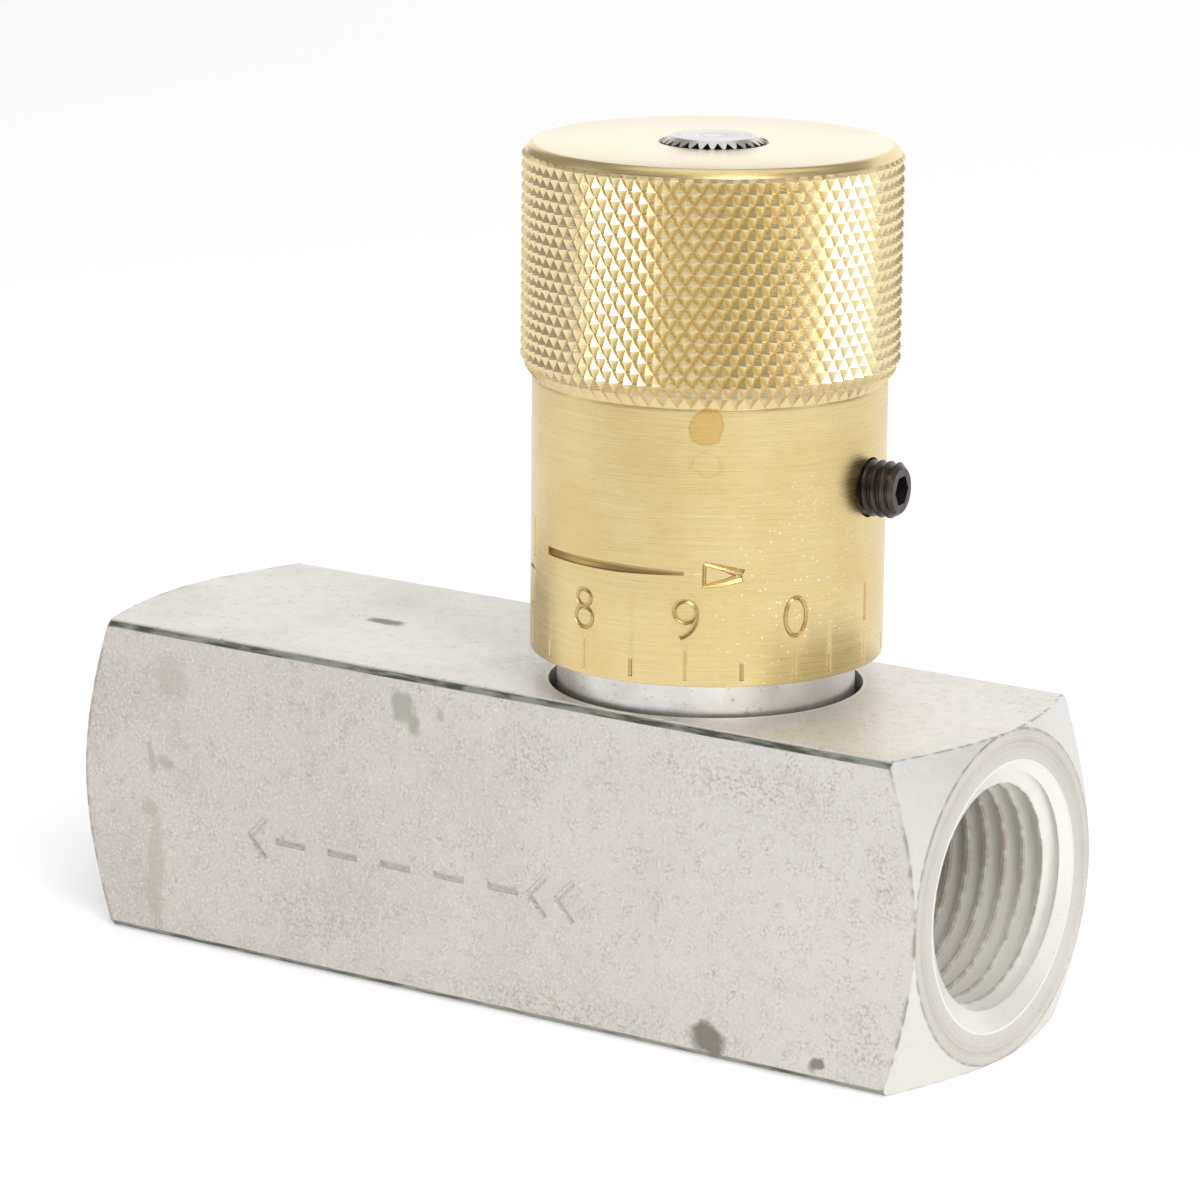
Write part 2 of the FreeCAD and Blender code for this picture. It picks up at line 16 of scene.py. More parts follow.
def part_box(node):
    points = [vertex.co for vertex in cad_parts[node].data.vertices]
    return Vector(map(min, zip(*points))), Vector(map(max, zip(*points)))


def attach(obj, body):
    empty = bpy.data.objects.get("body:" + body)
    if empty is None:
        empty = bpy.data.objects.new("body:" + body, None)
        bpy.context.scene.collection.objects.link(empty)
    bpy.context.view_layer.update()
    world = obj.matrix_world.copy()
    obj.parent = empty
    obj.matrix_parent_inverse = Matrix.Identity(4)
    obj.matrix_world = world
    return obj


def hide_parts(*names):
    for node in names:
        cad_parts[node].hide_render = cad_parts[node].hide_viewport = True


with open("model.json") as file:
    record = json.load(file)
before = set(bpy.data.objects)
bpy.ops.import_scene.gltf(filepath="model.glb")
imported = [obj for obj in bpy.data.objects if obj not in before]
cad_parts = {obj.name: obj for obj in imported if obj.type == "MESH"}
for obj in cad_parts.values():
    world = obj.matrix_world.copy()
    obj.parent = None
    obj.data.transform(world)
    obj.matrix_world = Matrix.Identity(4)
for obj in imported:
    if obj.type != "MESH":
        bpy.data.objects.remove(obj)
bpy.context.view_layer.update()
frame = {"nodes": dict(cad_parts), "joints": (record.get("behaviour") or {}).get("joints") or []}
nodes = frame["nodes"]
print("pieces in the frame:", len(nodes))

# %% [markdown]
# ## Measures
# Valves of this kind come in several bar sizes with the same proportions, so lengths are not
# given in millimetres but in parts of the bar: the bar's side is 31.75 parts, and every length
# below is a number times PART, which is a little under a millimetre here. Only screw threads
# keep their own standard sizes, in inches. The knob's axis comes from the joint that turns it,
# and the bore's height from the body's own box, so nothing has to be fitted by eye.

# %% Axes and main measures
INCH = 0.0254
SIDE_IN_PARTS = 31.75
knob_joint = next(joint for joint in frame["joints"] if joint["name"] == "knob_turn")
lock_joint = next(joint for joint in frame["joints"] if joint["name"] == "lock_screw_turn")
KNOB_AXIS = Vector((knob_joint["pos_m"][0], knob_joint["pos_m"][1], 0))
UPWARD = Vector((0, 0, 1))
ALONG = Vector((1, 0, 0))
body_low, body_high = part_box("valve_body")
knob_low, knob_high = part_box("adjusting_knob")
PART = (body_high.z - body_low.z) / SIDE_IN_PARTS
BORE_HEIGHT = (body_low.z + body_high.z) / 2
BODY_END = body_high.x
BODY_TOP = body_high.z
print("one part is", PART, "m; knob axis", KNOB_AXIS[:], "bore height", BORE_HEIGHT)

# %% [markdown]
# ## Workshop helpers
# A lathe turns an outline about an axis. In Blender that is bmesh.ops.spin: draw half of the
# section as a line of vertices, then spin it a full turn with use_merge, so the last copy joins
# the first. Points on the axis itself all land in one place, so doubles are merged afterwards
# and the normals are worked out again.

# %% Lathe
def turned(outline, centre, axis, steps=96):
    """A closed outline of (along, radius) points, turned about a line."""
    shape = bmesh.new()
    across = Vector((0, 0, 1)) if abs(axis.z) < 0.5 else Vector((1, 0, 0))
    corners = [shape.verts.new(centre + axis * along + across * radius) for along, radius in outline]
    sides = [shape.edges.new((a, b)) for a, b in zip(corners, corners[1:] + corners[:1])]
    bmesh.ops.spin(
        shape, geom=corners + sides, cent=centre, axis=axis, angle=math.tau, steps=steps,
        use_merge=True,
    )
    bmesh.ops.remove_doubles(shape, verts=shape.verts, dist=0.001 * PART)
    bmesh.ops.dissolve_degenerate(shape, edges=shape.edges, dist=0.0005 * PART)
    bmesh.ops.recalc_face_normals(shape, faces=shape.faces)
    return shape


def as_object(shape, name):
    """Puts a finished bmesh in the scene as an object at the origin."""
    mesh = bpy.data.meshes.new(name)
    shape.to_mesh(mesh)
    shape.free()
    made = bpy.data.objects.new(name, mesh)
    bpy.context.scene.collection.objects.link(made)
    return made

# %% [markdown]
# ## Cutting one shape with another
# Grooves, threads and sockets are cut as a machinist would cut them: a tool's shape is taken
# away from the blank. The Boolean modifier does this, and its MANIFOLD solver is exact and
# fast when both meshes are closed. The result is baked into a plain mesh at once, so no
# modifier is left, and the tool is thrown away.

# %% Cutting tools
def open_edges(made):
    """How many edges of a mesh don't have exactly two faces."""
    shape = bmesh.new()
    shape.from_mesh(made.data)
    count = sum(1 for edge in shape.edges if len(edge.link_faces) != 2)
    shape.free()
    return count


def carve(blank, tool):
    """Cuts the blank with the tool, bakes the result, and removes the tool."""
    cut = blank.modifiers.new("cut", "BOOLEAN")
    cut.operation = "DIFFERENCE"
    cut.solver = "MANIFOLD"
    cut.object = tool
    bpy.context.view_layer.update()
    baked = bpy.data.meshes.new_from_object(
        blank.evaluated_get(bpy.context.evaluated_depsgraph_get())
    )
    blank.modifiers.clear()
    blank.data = baked
    bpy.data.objects.remove(tool)
    return blank


def blank_from_frame(node_name, name):
    """A closed copy of a frame piece's mesh, ready to be cut."""
    shape = bmesh.new()
    shape.from_mesh(nodes[node_name].data)
    bmesh.ops.remove_doubles(shape, verts=shape.verts, dist=0.002 * PART)
    bmesh.ops.dissolve_degenerate(shape, edges=shape.edges, dist=0.001 * PART)
    made = as_object(shape, name)
    print(name, "blank: faces", len(made.data.polygons), "open edges", open_edges(made))
    return made


def soften_shading(made, crease_degrees=32):
    """Smooth faces, with a sharp edge wherever two faces meet at a clear angle."""
    shape = bmesh.new()
    shape.from_mesh(made.data)
    bmesh.ops.remove_doubles(shape, verts=shape.verts, dist=0.0005 * PART)
    for face in shape.faces:
        face.smooth = True
    for edge in shape.edges:
        flat = len(edge.link_faces) == 2 and edge.calc_face_angle() < math.radians(crease_degrees)
        edge.smooth = flat
    shape.to_mesh(made.data)
    shape.free()

# %% [markdown]
# ## Screw threads
# A thread is one tooth outline, repeated along the rod, carried round the axis while it moves
# on by one pitch. bmesh.ops.spin does just that when it is given dvec, a small step along the
# axis for each step round it. After a full turn every tooth has arrived where the next one
# began, so merging doubles closes the seam. The two ragged ends are then trimmed with
# bisect_plane and closed with a face. A taper or a fading last thread is only a change of
# radius afterwards.

# %% Threaded rod
TOOTH = [  # share of the pitch, share of the depth
    (0.0, 0.0), (0.06, 0.0), (0.25, 0.5), (0.44, 1.0), (0.5, 1.0), (0.56, 1.0), (0.75, 0.5), (0.94, 0.0),
]


def threaded_rod(pitch, root, crest, length, steps=144, shape_radius=None):
    """A rod along +X from x = 0, threaded right-handed from end to end."""
    shape = bmesh.new()
    rows = int(length / pitch) + 4
    line = []
    for row in range(-2, rows):
        for share, height in TOOTH:
            line.append(shape.verts.new(((row + share) * pitch, 0, root + (crest - root) * height)))
    strip = [shape.edges.new(pair) for pair in zip(line, line[1:])]
    bmesh.ops.spin(
        shape, geom=line + strip, cent=(0, 0, 0), axis=ALONG, dvec=ALONG * (pitch / steps),
        angle=math.tau, steps=steps, use_merge=False,
    )
    bmesh.ops.remove_doubles(shape, verts=shape.verts, dist=0.001 * PART)
    for plane_x, outward in ((0.0, -1), (length, 1)):
        bmesh.ops.bisect_plane(
            shape, geom=shape.verts[:] + shape.edges[:] + shape.faces[:], dist=1e-9,
            plane_co=(plane_x, 0, 0), plane_no=ALONG * outward, clear_outer=True,
        )
    if shape_radius is not None:
        for vert in shape.verts:
            radius = math.hypot(vert.co.y, vert.co.z)
            wanted = shape_radius(vert.co.x, radius)
            vert.co.y *= wanted / radius
            vert.co.z *= wanted / radius
    rim = [edge for edge in shape.edges if len(edge.link_faces) == 1]
    bmesh.ops.edgeloop_fill(shape, edges=rim)
    bmesh.ops.recalc_face_normals(shape, faces=shape.faces)
    return shape


def placed(shape, origin, direction):
    """Moves a shape drawn along +X so that it starts at origin and runs along direction."""
    turn = ALONG.rotation_difference(direction).to_matrix().to_4x4()
    bmesh.ops.transform(shape, matrix=Matrix.Translation(origin) @ turn, verts=shape.verts)
    return shape

# %% [markdown]
# ## The body
# On the real valve the body is a length of square steel bar, bored through, tapped with a
# tapered pipe thread at each end and turned down at the corners round each port. The frame's
# body already has every bore, so a closed copy of it is the blank, and what is missing is cut
# from it: the pipe threads, and the arrow stamped on the side.

# %% Pipe threads in both ports
PORT_PITCH = INCH / 14
PORT_CREST = 10.55 * PART
PORT_ROOT = 12.05 * PART
PORT_THREAD_LENGTH = 16.6 * PART
PORT_TAPER = 1 / 32
PORT_CLEAR_ENTRY = -0.16 * PART
FADE_LENGTH = 3.2 * PART


def pipe_thread_radius(x, radius):
    """Depth measured from the mouth: tapers in, and fades out over the last threads."""
    depth = x - PORT_CLEAR_ENTRY
    tapered = radius - PORT_TAPER * max(depth, 0)
    left = PORT_THREAD_LENGTH + PORT_CLEAR_ENTRY - x
    if left < FADE_LENGTH:
        floor_radius = PORT_CREST - PORT_TAPER * depth
        tapered = floor_radius + (tapered - floor_radius) * max(left / FADE_LENGTH, 0.0)
    return tapered


body = blank_from_frame("valve_body", "body_with_threads")
for side in (1, -1):
    mouth = Vector((side * (BODY_END + PORT_CLEAR_ENTRY), 0, BORE_HEIGHT))
    tap = threaded_rod(
        PORT_PITCH, PORT_CREST, PORT_ROOT, PORT_THREAD_LENGTH + PORT_CLEAR_ENTRY,
        shape_radius=pipe_thread_radius,
    )
    tap = as_object(placed(tap, mouth, ALONG * -side), "tap")
    print("tap: open edges", open_edges(tap))
    carve(body, tap)
print("body after tapping: faces", len(body.data.polygons), "open edges", open_edges(body))

# %% [markdown]
# ## Stamped and engraved lines
# A figure stamped in metal is a groove of even width with a round bottom. A curve with a
# round bevel is exactly the shape of such a tool drawn along a path, and a radius for each
# point lets the groove swell and run out. Each path becomes a closed mesh and is cut away
# from the piece. Strokes that cross go in separate passes, so that no tool cuts itself.

# %% Engraver's tool
def groove_tool(paths, width_radius):
    """One mesh made of round-bevelled paths: each is (points, point radii or None, closed)."""
    curve = bpy.data.curves.new("groove", "CURVE")
    curve.dimensions = "3D"
    curve.bevel_depth = width_radius
    curve.bevel_resolution = 2
    curve.use_fill_caps = True
    for points, radii, closed in paths:
        line = curve.splines.new("POLY")
        line.points.add(len(points) - 1)
        for k, point in enumerate(points):
            line.points[k].co = (*point, 1)
            line.points[k].radius = radii[k] if radii else 1.0
        line.use_cyclic_u = closed
    drawn = bpy.data.objects.new("groove", curve)
    bpy.context.scene.collection.objects.link(drawn)
    bpy.context.view_layer.update()
    mesh = bpy.data.meshes.new_from_object(
        drawn.evaluated_get(bpy.context.evaluated_depsgraph_get())
    )
    bpy.data.objects.remove(drawn)
    shape = bmesh.new()
    shape.from_mesh(mesh)
    bmesh.ops.remove_doubles(shape, verts=shape.verts, dist=0.002 * PART)
    bmesh.ops.recalc_face_normals(shape, faces=shape.faces)
    return as_object(shape, "groove_tool")

# %% Flow arrow on the front face
STAMP_HEIGHT = 12.4 * PART
STAMP_RADIUS = 0.42 * PART
STAMP_LIFT = 0.13 * PART
CHEVRON_REACH = 2.0 * PART
CHEVRON_RISE = 2.0 * PART
DASH_STARTS = (-24.6, -18.2, -11.8, -5.4, 1.0)
DASH_LENGTH = 3.6
CHEVRON_TIPS = (-27.9, 5.8, 9.0)
front_face_y = body_low.y


def on_front(x, z):
    """A point of the front face, lifted so that the tool cuts only its lower part."""
    return Vector((x, front_face_y - STAMP_LIFT, z))


def chevron(tip_x):
    """The upper and the lower limb of an arrowhead pointing towards the check's end."""
    tip = on_front(tip_x, STAMP_HEIGHT)
    back = tip_x + CHEVRON_REACH
    return [[tip, on_front(back, STAMP_HEIGHT + side * CHEVRON_RISE)] for side in (1, -1)]


stamp_passes = [[], []]
for start in DASH_STARTS:
    end = start + DASH_LENGTH
    dash = [on_front(start * PART, STAMP_HEIGHT), on_front(end * PART, STAMP_HEIGHT)]
    stamp_passes[0].append((dash, None, False))
for tip_x in CHEVRON_TIPS:
    for number, limb in enumerate(chevron(tip_x * PART)):
        stamp_passes[number].append((limb, None, False))
for paths in stamp_passes:
    carve(body, groove_tool(paths, STAMP_RADIUS))
soften_shading(body, 18)
print("body finished: faces", len(body.data.polygons), "open edges", open_edges(body))
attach(body, "valve_body")
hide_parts("valve_body")

# %% [markdown]
# ## The knob
# The knob is turned from brass bar: a plain skirt that carries the dial, and a wider head with
# a diamond knurl. A knurl is pressed in by two wheels whose teeth lean opposite ways, which
# leaves rows of small pyramids. The lathe helper can make both at once: the band's outline is
# given a row of vertices for each half diamond, the spin makes two columns per diamond, and
# then every second vertex, counted like the squares of a chessboard, is left proud while the
# others are pushed in. Each square is split along its valley, and the pyramids appear.

# %% Turn the knob with its knurl
KNURL_TEETH = 78
KNURL_DEPTH = 0.56 * PART
KNURL_ROWS = 20
KNURL_RADIUS = (knob_high.x - knob_low.x) / 2
SKIRT_RADIUS = KNURL_RADIUS - 1.15 * PART
SKIRT_FOOT = knob_low.z
KNOB_TOP = knob_high.z
KNURL_START = SKIRT_FOOT + 26.2 * PART
KNURL_END = KNOB_TOP - 1.2 * PART
KNOB_STEP = SKIRT_FOOT + 10.35 * PART
KNOB_CEILING = SKIRT_FOOT + 33.1 * PART
SKIRT_BORE = 14.5 * PART
POST_BORE = 9.45 * PART
HUB_BORE = 4.86 * PART
LOWER_FADE = 1.7 * PART
row_height = (KNURL_END - KNURL_START) / KNURL_ROWS


def knurl_height(row):
    return KNURL_START + row * row_height


def proud_radius(row):
    """Radius of the pyramids' tips: they rise out of the lower chamfer."""
    rise = (knurl_height(row) - KNURL_START) / LOWER_FADE
    return SKIRT_RADIUS + (KNURL_RADIUS - SKIRT_RADIUS) * min(rise, 1.0)


knob_outline = [
    (SKIRT_FOOT, SKIRT_BORE + 0.15 * PART), (SKIRT_FOOT, SKIRT_RADIUS - 0.2 * PART),
    (SKIRT_FOOT + 0.06 * PART, SKIRT_RADIUS - 0.06 * PART), (SKIRT_FOOT + 0.2 * PART, SKIRT_RADIUS),
]
knob_outline += [(SKIRT_FOOT + h * PART, SKIRT_RADIUS) for h in (9.0, 17.4, 25.75)]
knob_outline += [(KNURL_START - 0.2 * PART, SKIRT_RADIUS)]
first_row = len(knob_outline)
knob_outline += [(knurl_height(row), proud_radius(row)) for row in range(KNURL_ROWS + 1)]
knob_outline += [
    (KNURL_END + 0.4 * PART, KNURL_RADIUS - 0.34 * PART),
    (KNURL_END + 0.8 * PART, KNURL_RADIUS - 0.6 * PART),
    (KNURL_END + 1.08 * PART, KNURL_RADIUS - 0.92 * PART), (KNOB_TOP, KNURL_RADIUS - 1.25 * PART),
    (KNOB_TOP, 9.0 * PART), (KNOB_TOP, HUB_BORE + 0.35 * PART), (KNOB_TOP - 0.35 * PART, HUB_BORE),
    (KNOB_CEILING, HUB_BORE), (KNOB_CEILING, POST_BORE), (KNOB_STEP, POST_BORE),
    (KNOB_STEP, SKIRT_BORE), (SKIRT_FOOT + 0.15 * PART, SKIRT_BORE),
]
knob_shape = turned(knob_outline, KNOB_AXIS, UPWARD, steps=2 * KNURL_TEETH)
print("knob blank: faces", len(knob_shape.faces))


def knurl_place(vert):
    """The vertex's column and row in the knurl, or None away from it."""
    offset = vert.co - KNOB_AXIS
    row = (vert.co.z - KNURL_START) / row_height
    radius = math.hypot(offset.x, offset.y)
    on_outside = radius >= SKIRT_RADIUS - 0.02 * PART
    on_row = abs(row - round(row)) <= 0.02 and 0 <= round(row) <= KNURL_ROWS
    if not (on_outside and on_row):
        return None
    column = math.atan2(offset.y, offset.x) / math.tau * 2 * KNURL_TEETH
    return round(column) % (2 * KNURL_TEETH), round(row)


places = {vert: place for vert in knob_shape.verts if (place := knurl_place(vert))}
valleys = {vert for vert, (column, row) in places.items() if (column + row) % 2}
for face in knob_shape.faces[:]:
    corners = list(face.verts)
    if len(corners) == 4 and all(vert in places for vert in corners):
        low = [vert for vert in corners if vert in valleys]
        if len(low) == 2:
            bmesh.utils.face_split(face, *low)
for vert in valleys:
    offset = vert.co - KNOB_AXIS
    radius = math.hypot(offset.x, offset.y)
    pressed = KNURL_DEPTH * min(0.15 + 0.5 * places[vert][1], 1.0)
    wanted = proud_radius(places[vert][1]) - pressed
    vert.co.x = KNOB_AXIS.x + offset.x * wanted / radius
    vert.co.y = KNOB_AXIS.y + offset.y * wanted / radius
knob = as_object(knob_shape, "knurled_knob")
print("knurl vertices", len(places), "valleys", len(valleys), "open edges", open_edges(knob))

# %% [markdown]
# ## The dial
# Round the foot of the skirt run the figures 0 to 9, with a long mark under each and a short
# one between, and above them an arrow shows which way opens the valve. Each figure is a few
# strokes: straight lines and parts of ellipses on a small grid, four high and two and a half
# wide, wrapped round the skirt by turning the distance across into an angle.

# %% Figures as strokes
def arc(centre_x, centre_y, half_width, half_height, start, end, count=14):
    """Points along part of an ellipse, angles in degrees."""
    points = []
    for k in range(count + 1):
        angle = math.radians(start + (end - start) * k / count)
        x = centre_x + half_width * math.cos(angle)
        y = centre_y + half_height * math.sin(angle)
        points.append((x, y))
    return points


RING = 360 * 23 / 24
FIGURES = {
    0: [(arc(0, 2, 1.1, 1.8, 0, RING, 23), True)],
    1: [([(0, 0.2), (0, 3.8)], False)],
    2: [(arc(0, 2.8, 1.0, 1.0, 160, -30) + [(-1.05, 0.25)], False), ([(-0.6, 0.22), (1.1, 0.22)], False)],
    3: [(arc(-0.1, 2.9, 1.0, 0.9, 150, -75), False), (arc(-0.1, 1.2, 1.1, 1.0, 70, -150), False)],
    4: [([(0.4, 0.2), (0.4, 3.8), (-1.1, 1.25), (-0.1, 1.25)], False)],
    5: [([(1.0, 3.8), (-0.75, 3.8), (-0.9, 2.2)] + arc(-0.05, 1.35, 1.05, 1.15, 120, -150), False)],
    6: [(arc(0, 1.25, 1.05, 1.05, 0, RING, 23), True), (arc(1.05, 1.5, 2.1, 2.3, 178, 104), False)],
    7: [([(-1.1, 3.8), (1.1, 3.8), (-0.3, 0.2)], False)],
    8: [(arc(0, 3.02, 0.85, 0.78, 0, RING, 23), True), (arc(0, 1.16, 1.05, 0.98, 0, RING, 23), True)],
    9: [(arc(0, 2.78, 1.05, 1.02, 0, RING, 23), True), (arc(-1.05, 2.5, 2.1, 2.3, -2, -76), False)],
}
FIGURE_FOOT = SKIRT_FOOT + 4.4 * PART
FIRST_FIGURE_ANGLE = -27.3
ENGRAVER_RADIUS = 0.27 * PART
ENGRAVER_LIFT = 0.11 * PART
MARK_FOOT = 0.62 * PART
LONG_MARK = 3.5 * PART
SHORT_MARK = 2.3 * PART
UNEVEN_MARKS = {0: -4.2, 3: 1.5, 6: -1.0}  # struck by hand, so not quite halfway
UNEVEN_FIGURES = {1: -3.8, 4: 1.2}


def on_skirt(angle, height):
    """A point just off the skirt, at an angle in degrees about the knob's axis."""
    turn = math.radians(angle)
    outward = Vector((math.cos(turn), math.sin(turn), 0))
    return KNOB_AXIS + outward * (SKIRT_RADIUS + ENGRAVER_LIFT) + UPWARD * height


def across_angle(distance):
    """The angle that a distance in parts takes round the skirt."""
    return math.degrees(distance * PART / SKIRT_RADIUS)


passes = [[], []]
for figure, strokes in FIGURES.items():
    middle = FIRST_FIGURE_ANGLE + 36 * figure + UNEVEN_FIGURES.get(figure, 0)
    for number, (points, closed) in enumerate(strokes):
        path = [on_skirt(middle + across_angle(x), FIGURE_FOOT + y * PART) for x, y in points]
        passes[number].append((path, None, closed))
    between = 18 + UNEVEN_MARKS.get(figure, 0)
    for offset, top, strength in ((0, LONG_MARK, 0.72), (between, SHORT_MARK, 0.95)):
        heights = [MARK_FOOT, top]
        path = [on_skirt(middle + offset, SKIRT_FOOT + h) for h in heights]
        passes[0].append((path, [strength, strength], False))

# %% Turning arrow
ARROW_HEIGHT = SKIRT_FOOT + 10.8 * PART
SHAFT_START = -119
SHAFT_SWEEP = 55
SHAFT_STEPS = 20
SHAFT_WIDTH = 1.7
TAPER_FROM = 12
shaft = [on_skirt(SHAFT_START + SHAFT_SWEEP * k / SHAFT_STEPS, ARROW_HEIGHT) for k in range(SHAFT_STEPS + 1)]
shaft_radii = [SHAFT_WIDTH - 0.1 * max(k - TAPER_FROM, 0) for k in range(SHAFT_STEPS + 1)]
passes[0].append((shaft, shaft_radii, False))
passes[0].append(([on_skirt(-60.8, ARROW_HEIGHT), on_skirt(-58.6, ARROW_HEIGHT)], [0.6, 0.6], False))
head = [
    on_skirt(-57.4, ARROW_HEIGHT + 1.0 * PART), on_skirt(-51.5, ARROW_HEIGHT + 0.55 * PART),
    on_skirt(-45.2, ARROW_HEIGHT - 0.05 * PART),
]
passes[0].append((head, [1.0, 1.2, 1.9], False))
foot = [
    on_skirt(-57.6, ARROW_HEIGHT + 1.0 * PART), on_skirt(-57.6, ARROW_HEIGHT - 1.15 * PART),
    on_skirt(-51, ARROW_HEIGHT - 0.8 * PART), on_skirt(-45.6, ARROW_HEIGHT - 0.35 * PART),
]
passes[1].append((foot, [0.9, 1.2, 1.4, 1.9], False))
stop_mark = [on_skirt(-132.5, ARROW_HEIGHT + h * PART) for h in (-1.4, 2.5)]
passes[0].append((stop_mark, [1.3, 1.3], False))
for paths in passes:
    carve(knob, groove_tool(paths, ENGRAVER_RADIUS))
print("knob engraved: faces", len(knob.data.polygons), "open edges", open_edges(knob))

# %% [markdown]
# ## The lock screw and its hole
# A small black socket screw goes through the skirt and stops the knob from creeping. The hole
# is a plain drilled hole with a small countersink, turned on the lathe helper as a tool. The
# screw is a threaded rod with both ends chamfered, and a hexagon socket cut into its head end.

# %% Drill the skirt
LOCK_DIRECTION = -Vector(lock_joint["axis"]).normalized()
LOCK_CENTRE = Vector((KNOB_AXIS.x, KNOB_AXIS.y, lock_joint["pos_m"][2]))
LOCK_PITCH = INCH / 32
screw_low, screw_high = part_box("lock_screw")
LOCK_RADIUS = (screw_high.z - screw_low.z) / 2
distances = [(vert.co - LOCK_CENTRE).dot(LOCK_DIRECTION) for vert in nodes["lock_screw"].data.vertices]
LOCK_END = max(distances)
LOCK_LENGTH = LOCK_END - min(distances)
print("lock screw: radius", LOCK_RADIUS, "length", LOCK_LENGTH)
DRILL_START = 11.0 * PART
DRILL_SHOULDER = 16.5 * PART
DRILL_END = 18.0 * PART
hole_radius = LOCK_RADIUS + 0.05 * PART
drill = turned(
    [
        (DRILL_START, 0), (DRILL_START, hole_radius), (DRILL_SHOULDER, hole_radius),
        (DRILL_END, hole_radius + 0.5 * PART), (DRILL_END, 0),
    ],
    LOCK_CENTRE, LOCK_DIRECTION, steps=64,
)
carve(knob, as_object(drill, "drill"))
soften_shading(knob, 24)
print("knob finished: faces", len(knob.data.polygons), "open edges", open_edges(knob))
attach(knob, "knob_assembly")
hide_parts("adjusting_knob")

# %% Cut the lock screw
LOCK_DEPTH = 0.42 * PART
LOCK_CHAMFER = 0.55 * PART
SOCKET_FLATS = 2.6 * PART
SOCKET_DEPTH = 3.2 * PART


def screw_radius(x, radius):
    """Both ends are turned down to a cone."""
    nearest = min(x, LOCK_LENGTH - x)
    return min(radius, LOCK_RADIUS - LOCK_CHAMFER + nearest)


screw_shape = threaded_rod(
    LOCK_PITCH, LOCK_RADIUS - LOCK_DEPTH, LOCK_RADIUS, LOCK_LENGTH, steps=96, shape_radius=screw_radius
)
start = LOCK_CENTRE + LOCK_DIRECTION * (LOCK_END - LOCK_LENGTH)
lock_screw = as_object(placed(screw_shape, start, LOCK_DIRECTION), "lock_screw_threaded")


def hexagon_tool(flats, depth, mouth, direction):
    """A six-sided plug that goes in against direction, and stands out a little past the mouth."""
    shape = bmesh.new()
    made = bmesh.ops.create_circle(shape, cap_ends=True, segments=6, radius=flats / math.sqrt(3))
    quarter_turn = Matrix.Rotation(math.pi / 2, 3, "Y")
    bmesh.ops.rotate(shape, verts=made["verts"], cent=(0, 0, 0), matrix=quarter_turn)
    grown = bmesh.ops.extrude_face_region(shape, geom=shape.faces[:])
    bottom = [item for item in grown["geom"] if isinstance(item, bmesh.types.BMVert)]
    bmesh.ops.translate(shape, verts=bottom, vec=ALONG * -depth)
    top = [vert for vert in shape.verts if vert not in bottom]
    bmesh.ops.translate(shape, verts=top, vec=ALONG * 0.3 * PART)
    bmesh.ops.recalc_face_normals(shape, faces=shape.faces)
    return as_object(placed(shape, mouth, direction), "hexagon_tool")


screw_face = LOCK_CENTRE + LOCK_DIRECTION * LOCK_END
carve(lock_screw, hexagon_tool(SOCKET_FLATS, SOCKET_DEPTH, screw_face, LOCK_DIRECTION))
soften_shading(lock_screw, 30)
print("lock screw: faces", len(lock_screw.data.polygons), "open edges", open_edges(lock_screw))
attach(lock_screw, "lock_screw")
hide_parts("lock_screw")

# %% [markdown]
# ## The spindle
# The needle and the knob are joined by serrations on the spindle's upper end, which show as
# fine teeth round a shining flat. Below, hidden in the bonnet, runs the screw that lifts the
# needle. Both are cut from a closed copy of the frame's spindle: the teeth with a ring of
# three-sided tools, and the screw with a die, a sleeve with a thread inside.

# %% Serrate and thread the spindle
SERRATIONS = 28
SERRATION_RADIUS = 4.85 * PART
SERRATION_DEPTH = 0.72 * PART
SERRATION_LENGTH = 14.0 * PART
BAR_RADIUS = 0.75 * PART
OVERRUN = 1 * PART
STEM_PITCH = INCH / 20
STEM_CREST = 7 / 32 * INCH
STEM_ROOT = STEM_CREST - 0.6 * STEM_PITCH
DIE_CREST = STEM_CREST + 0.02 * PART
DIE_OUTSIDE = 7.5 * PART
DIE_BOTTOM = 43.4 * PART
DIE_TOP = 68.5 * PART
spindle_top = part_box("needle_spindle")[1].z
spindle = blank_from_frame("needle_spindle", "spindle_serrated")


def serration_tools():
    """Three-sided bars round the spindle's upper end, all in one mesh."""
    shape = bmesh.new()
    for k in range(SERRATIONS):
        turn = Matrix.Rotation(math.tau * k / SERRATIONS, 4, "Z")
        made = bmesh.ops.create_cone(
            shape, cap_ends=True, segments=3, radius1=BAR_RADIUS, radius2=BAR_RADIUS,
            depth=SERRATION_LENGTH + 2 * OVERRUN,
        )
        outward = Matrix.Translation((
            SERRATION_RADIUS + BAR_RADIUS - SERRATION_DEPTH, 0, spindle_top - SERRATION_LENGTH / 2 + OVERRUN,
        ))
        place = Matrix.Translation(KNOB_AXIS) @ turn @ outward @ Matrix.Rotation(math.pi / 2, 4, "Z")
        bmesh.ops.transform(shape, matrix=place, verts=made["verts"])
    bmesh.ops.recalc_face_normals(shape, faces=shape.faces)
    return as_object(shape, "serration_tools")


carve(spindle, serration_tools())


def die(pitch, root, crest, outside, bottom, top):
    """A sleeve whose threaded hole leaves a thread on what it is cut from."""
    length = top - bottom
    origin = KNOB_AXIS + UPWARD * bottom
    sleeve = as_object(
        turned([(0, 0), (0, outside), (length, outside), (length, 0)], origin, UPWARD, steps=64), "die"
    )
    rod = threaded_rod(pitch, root, crest, length + 2 * OVERRUN)
    rod = as_object(placed(rod, origin - UPWARD * OVERRUN, UPWARD), "die_rod")
    return carve(sleeve, rod)


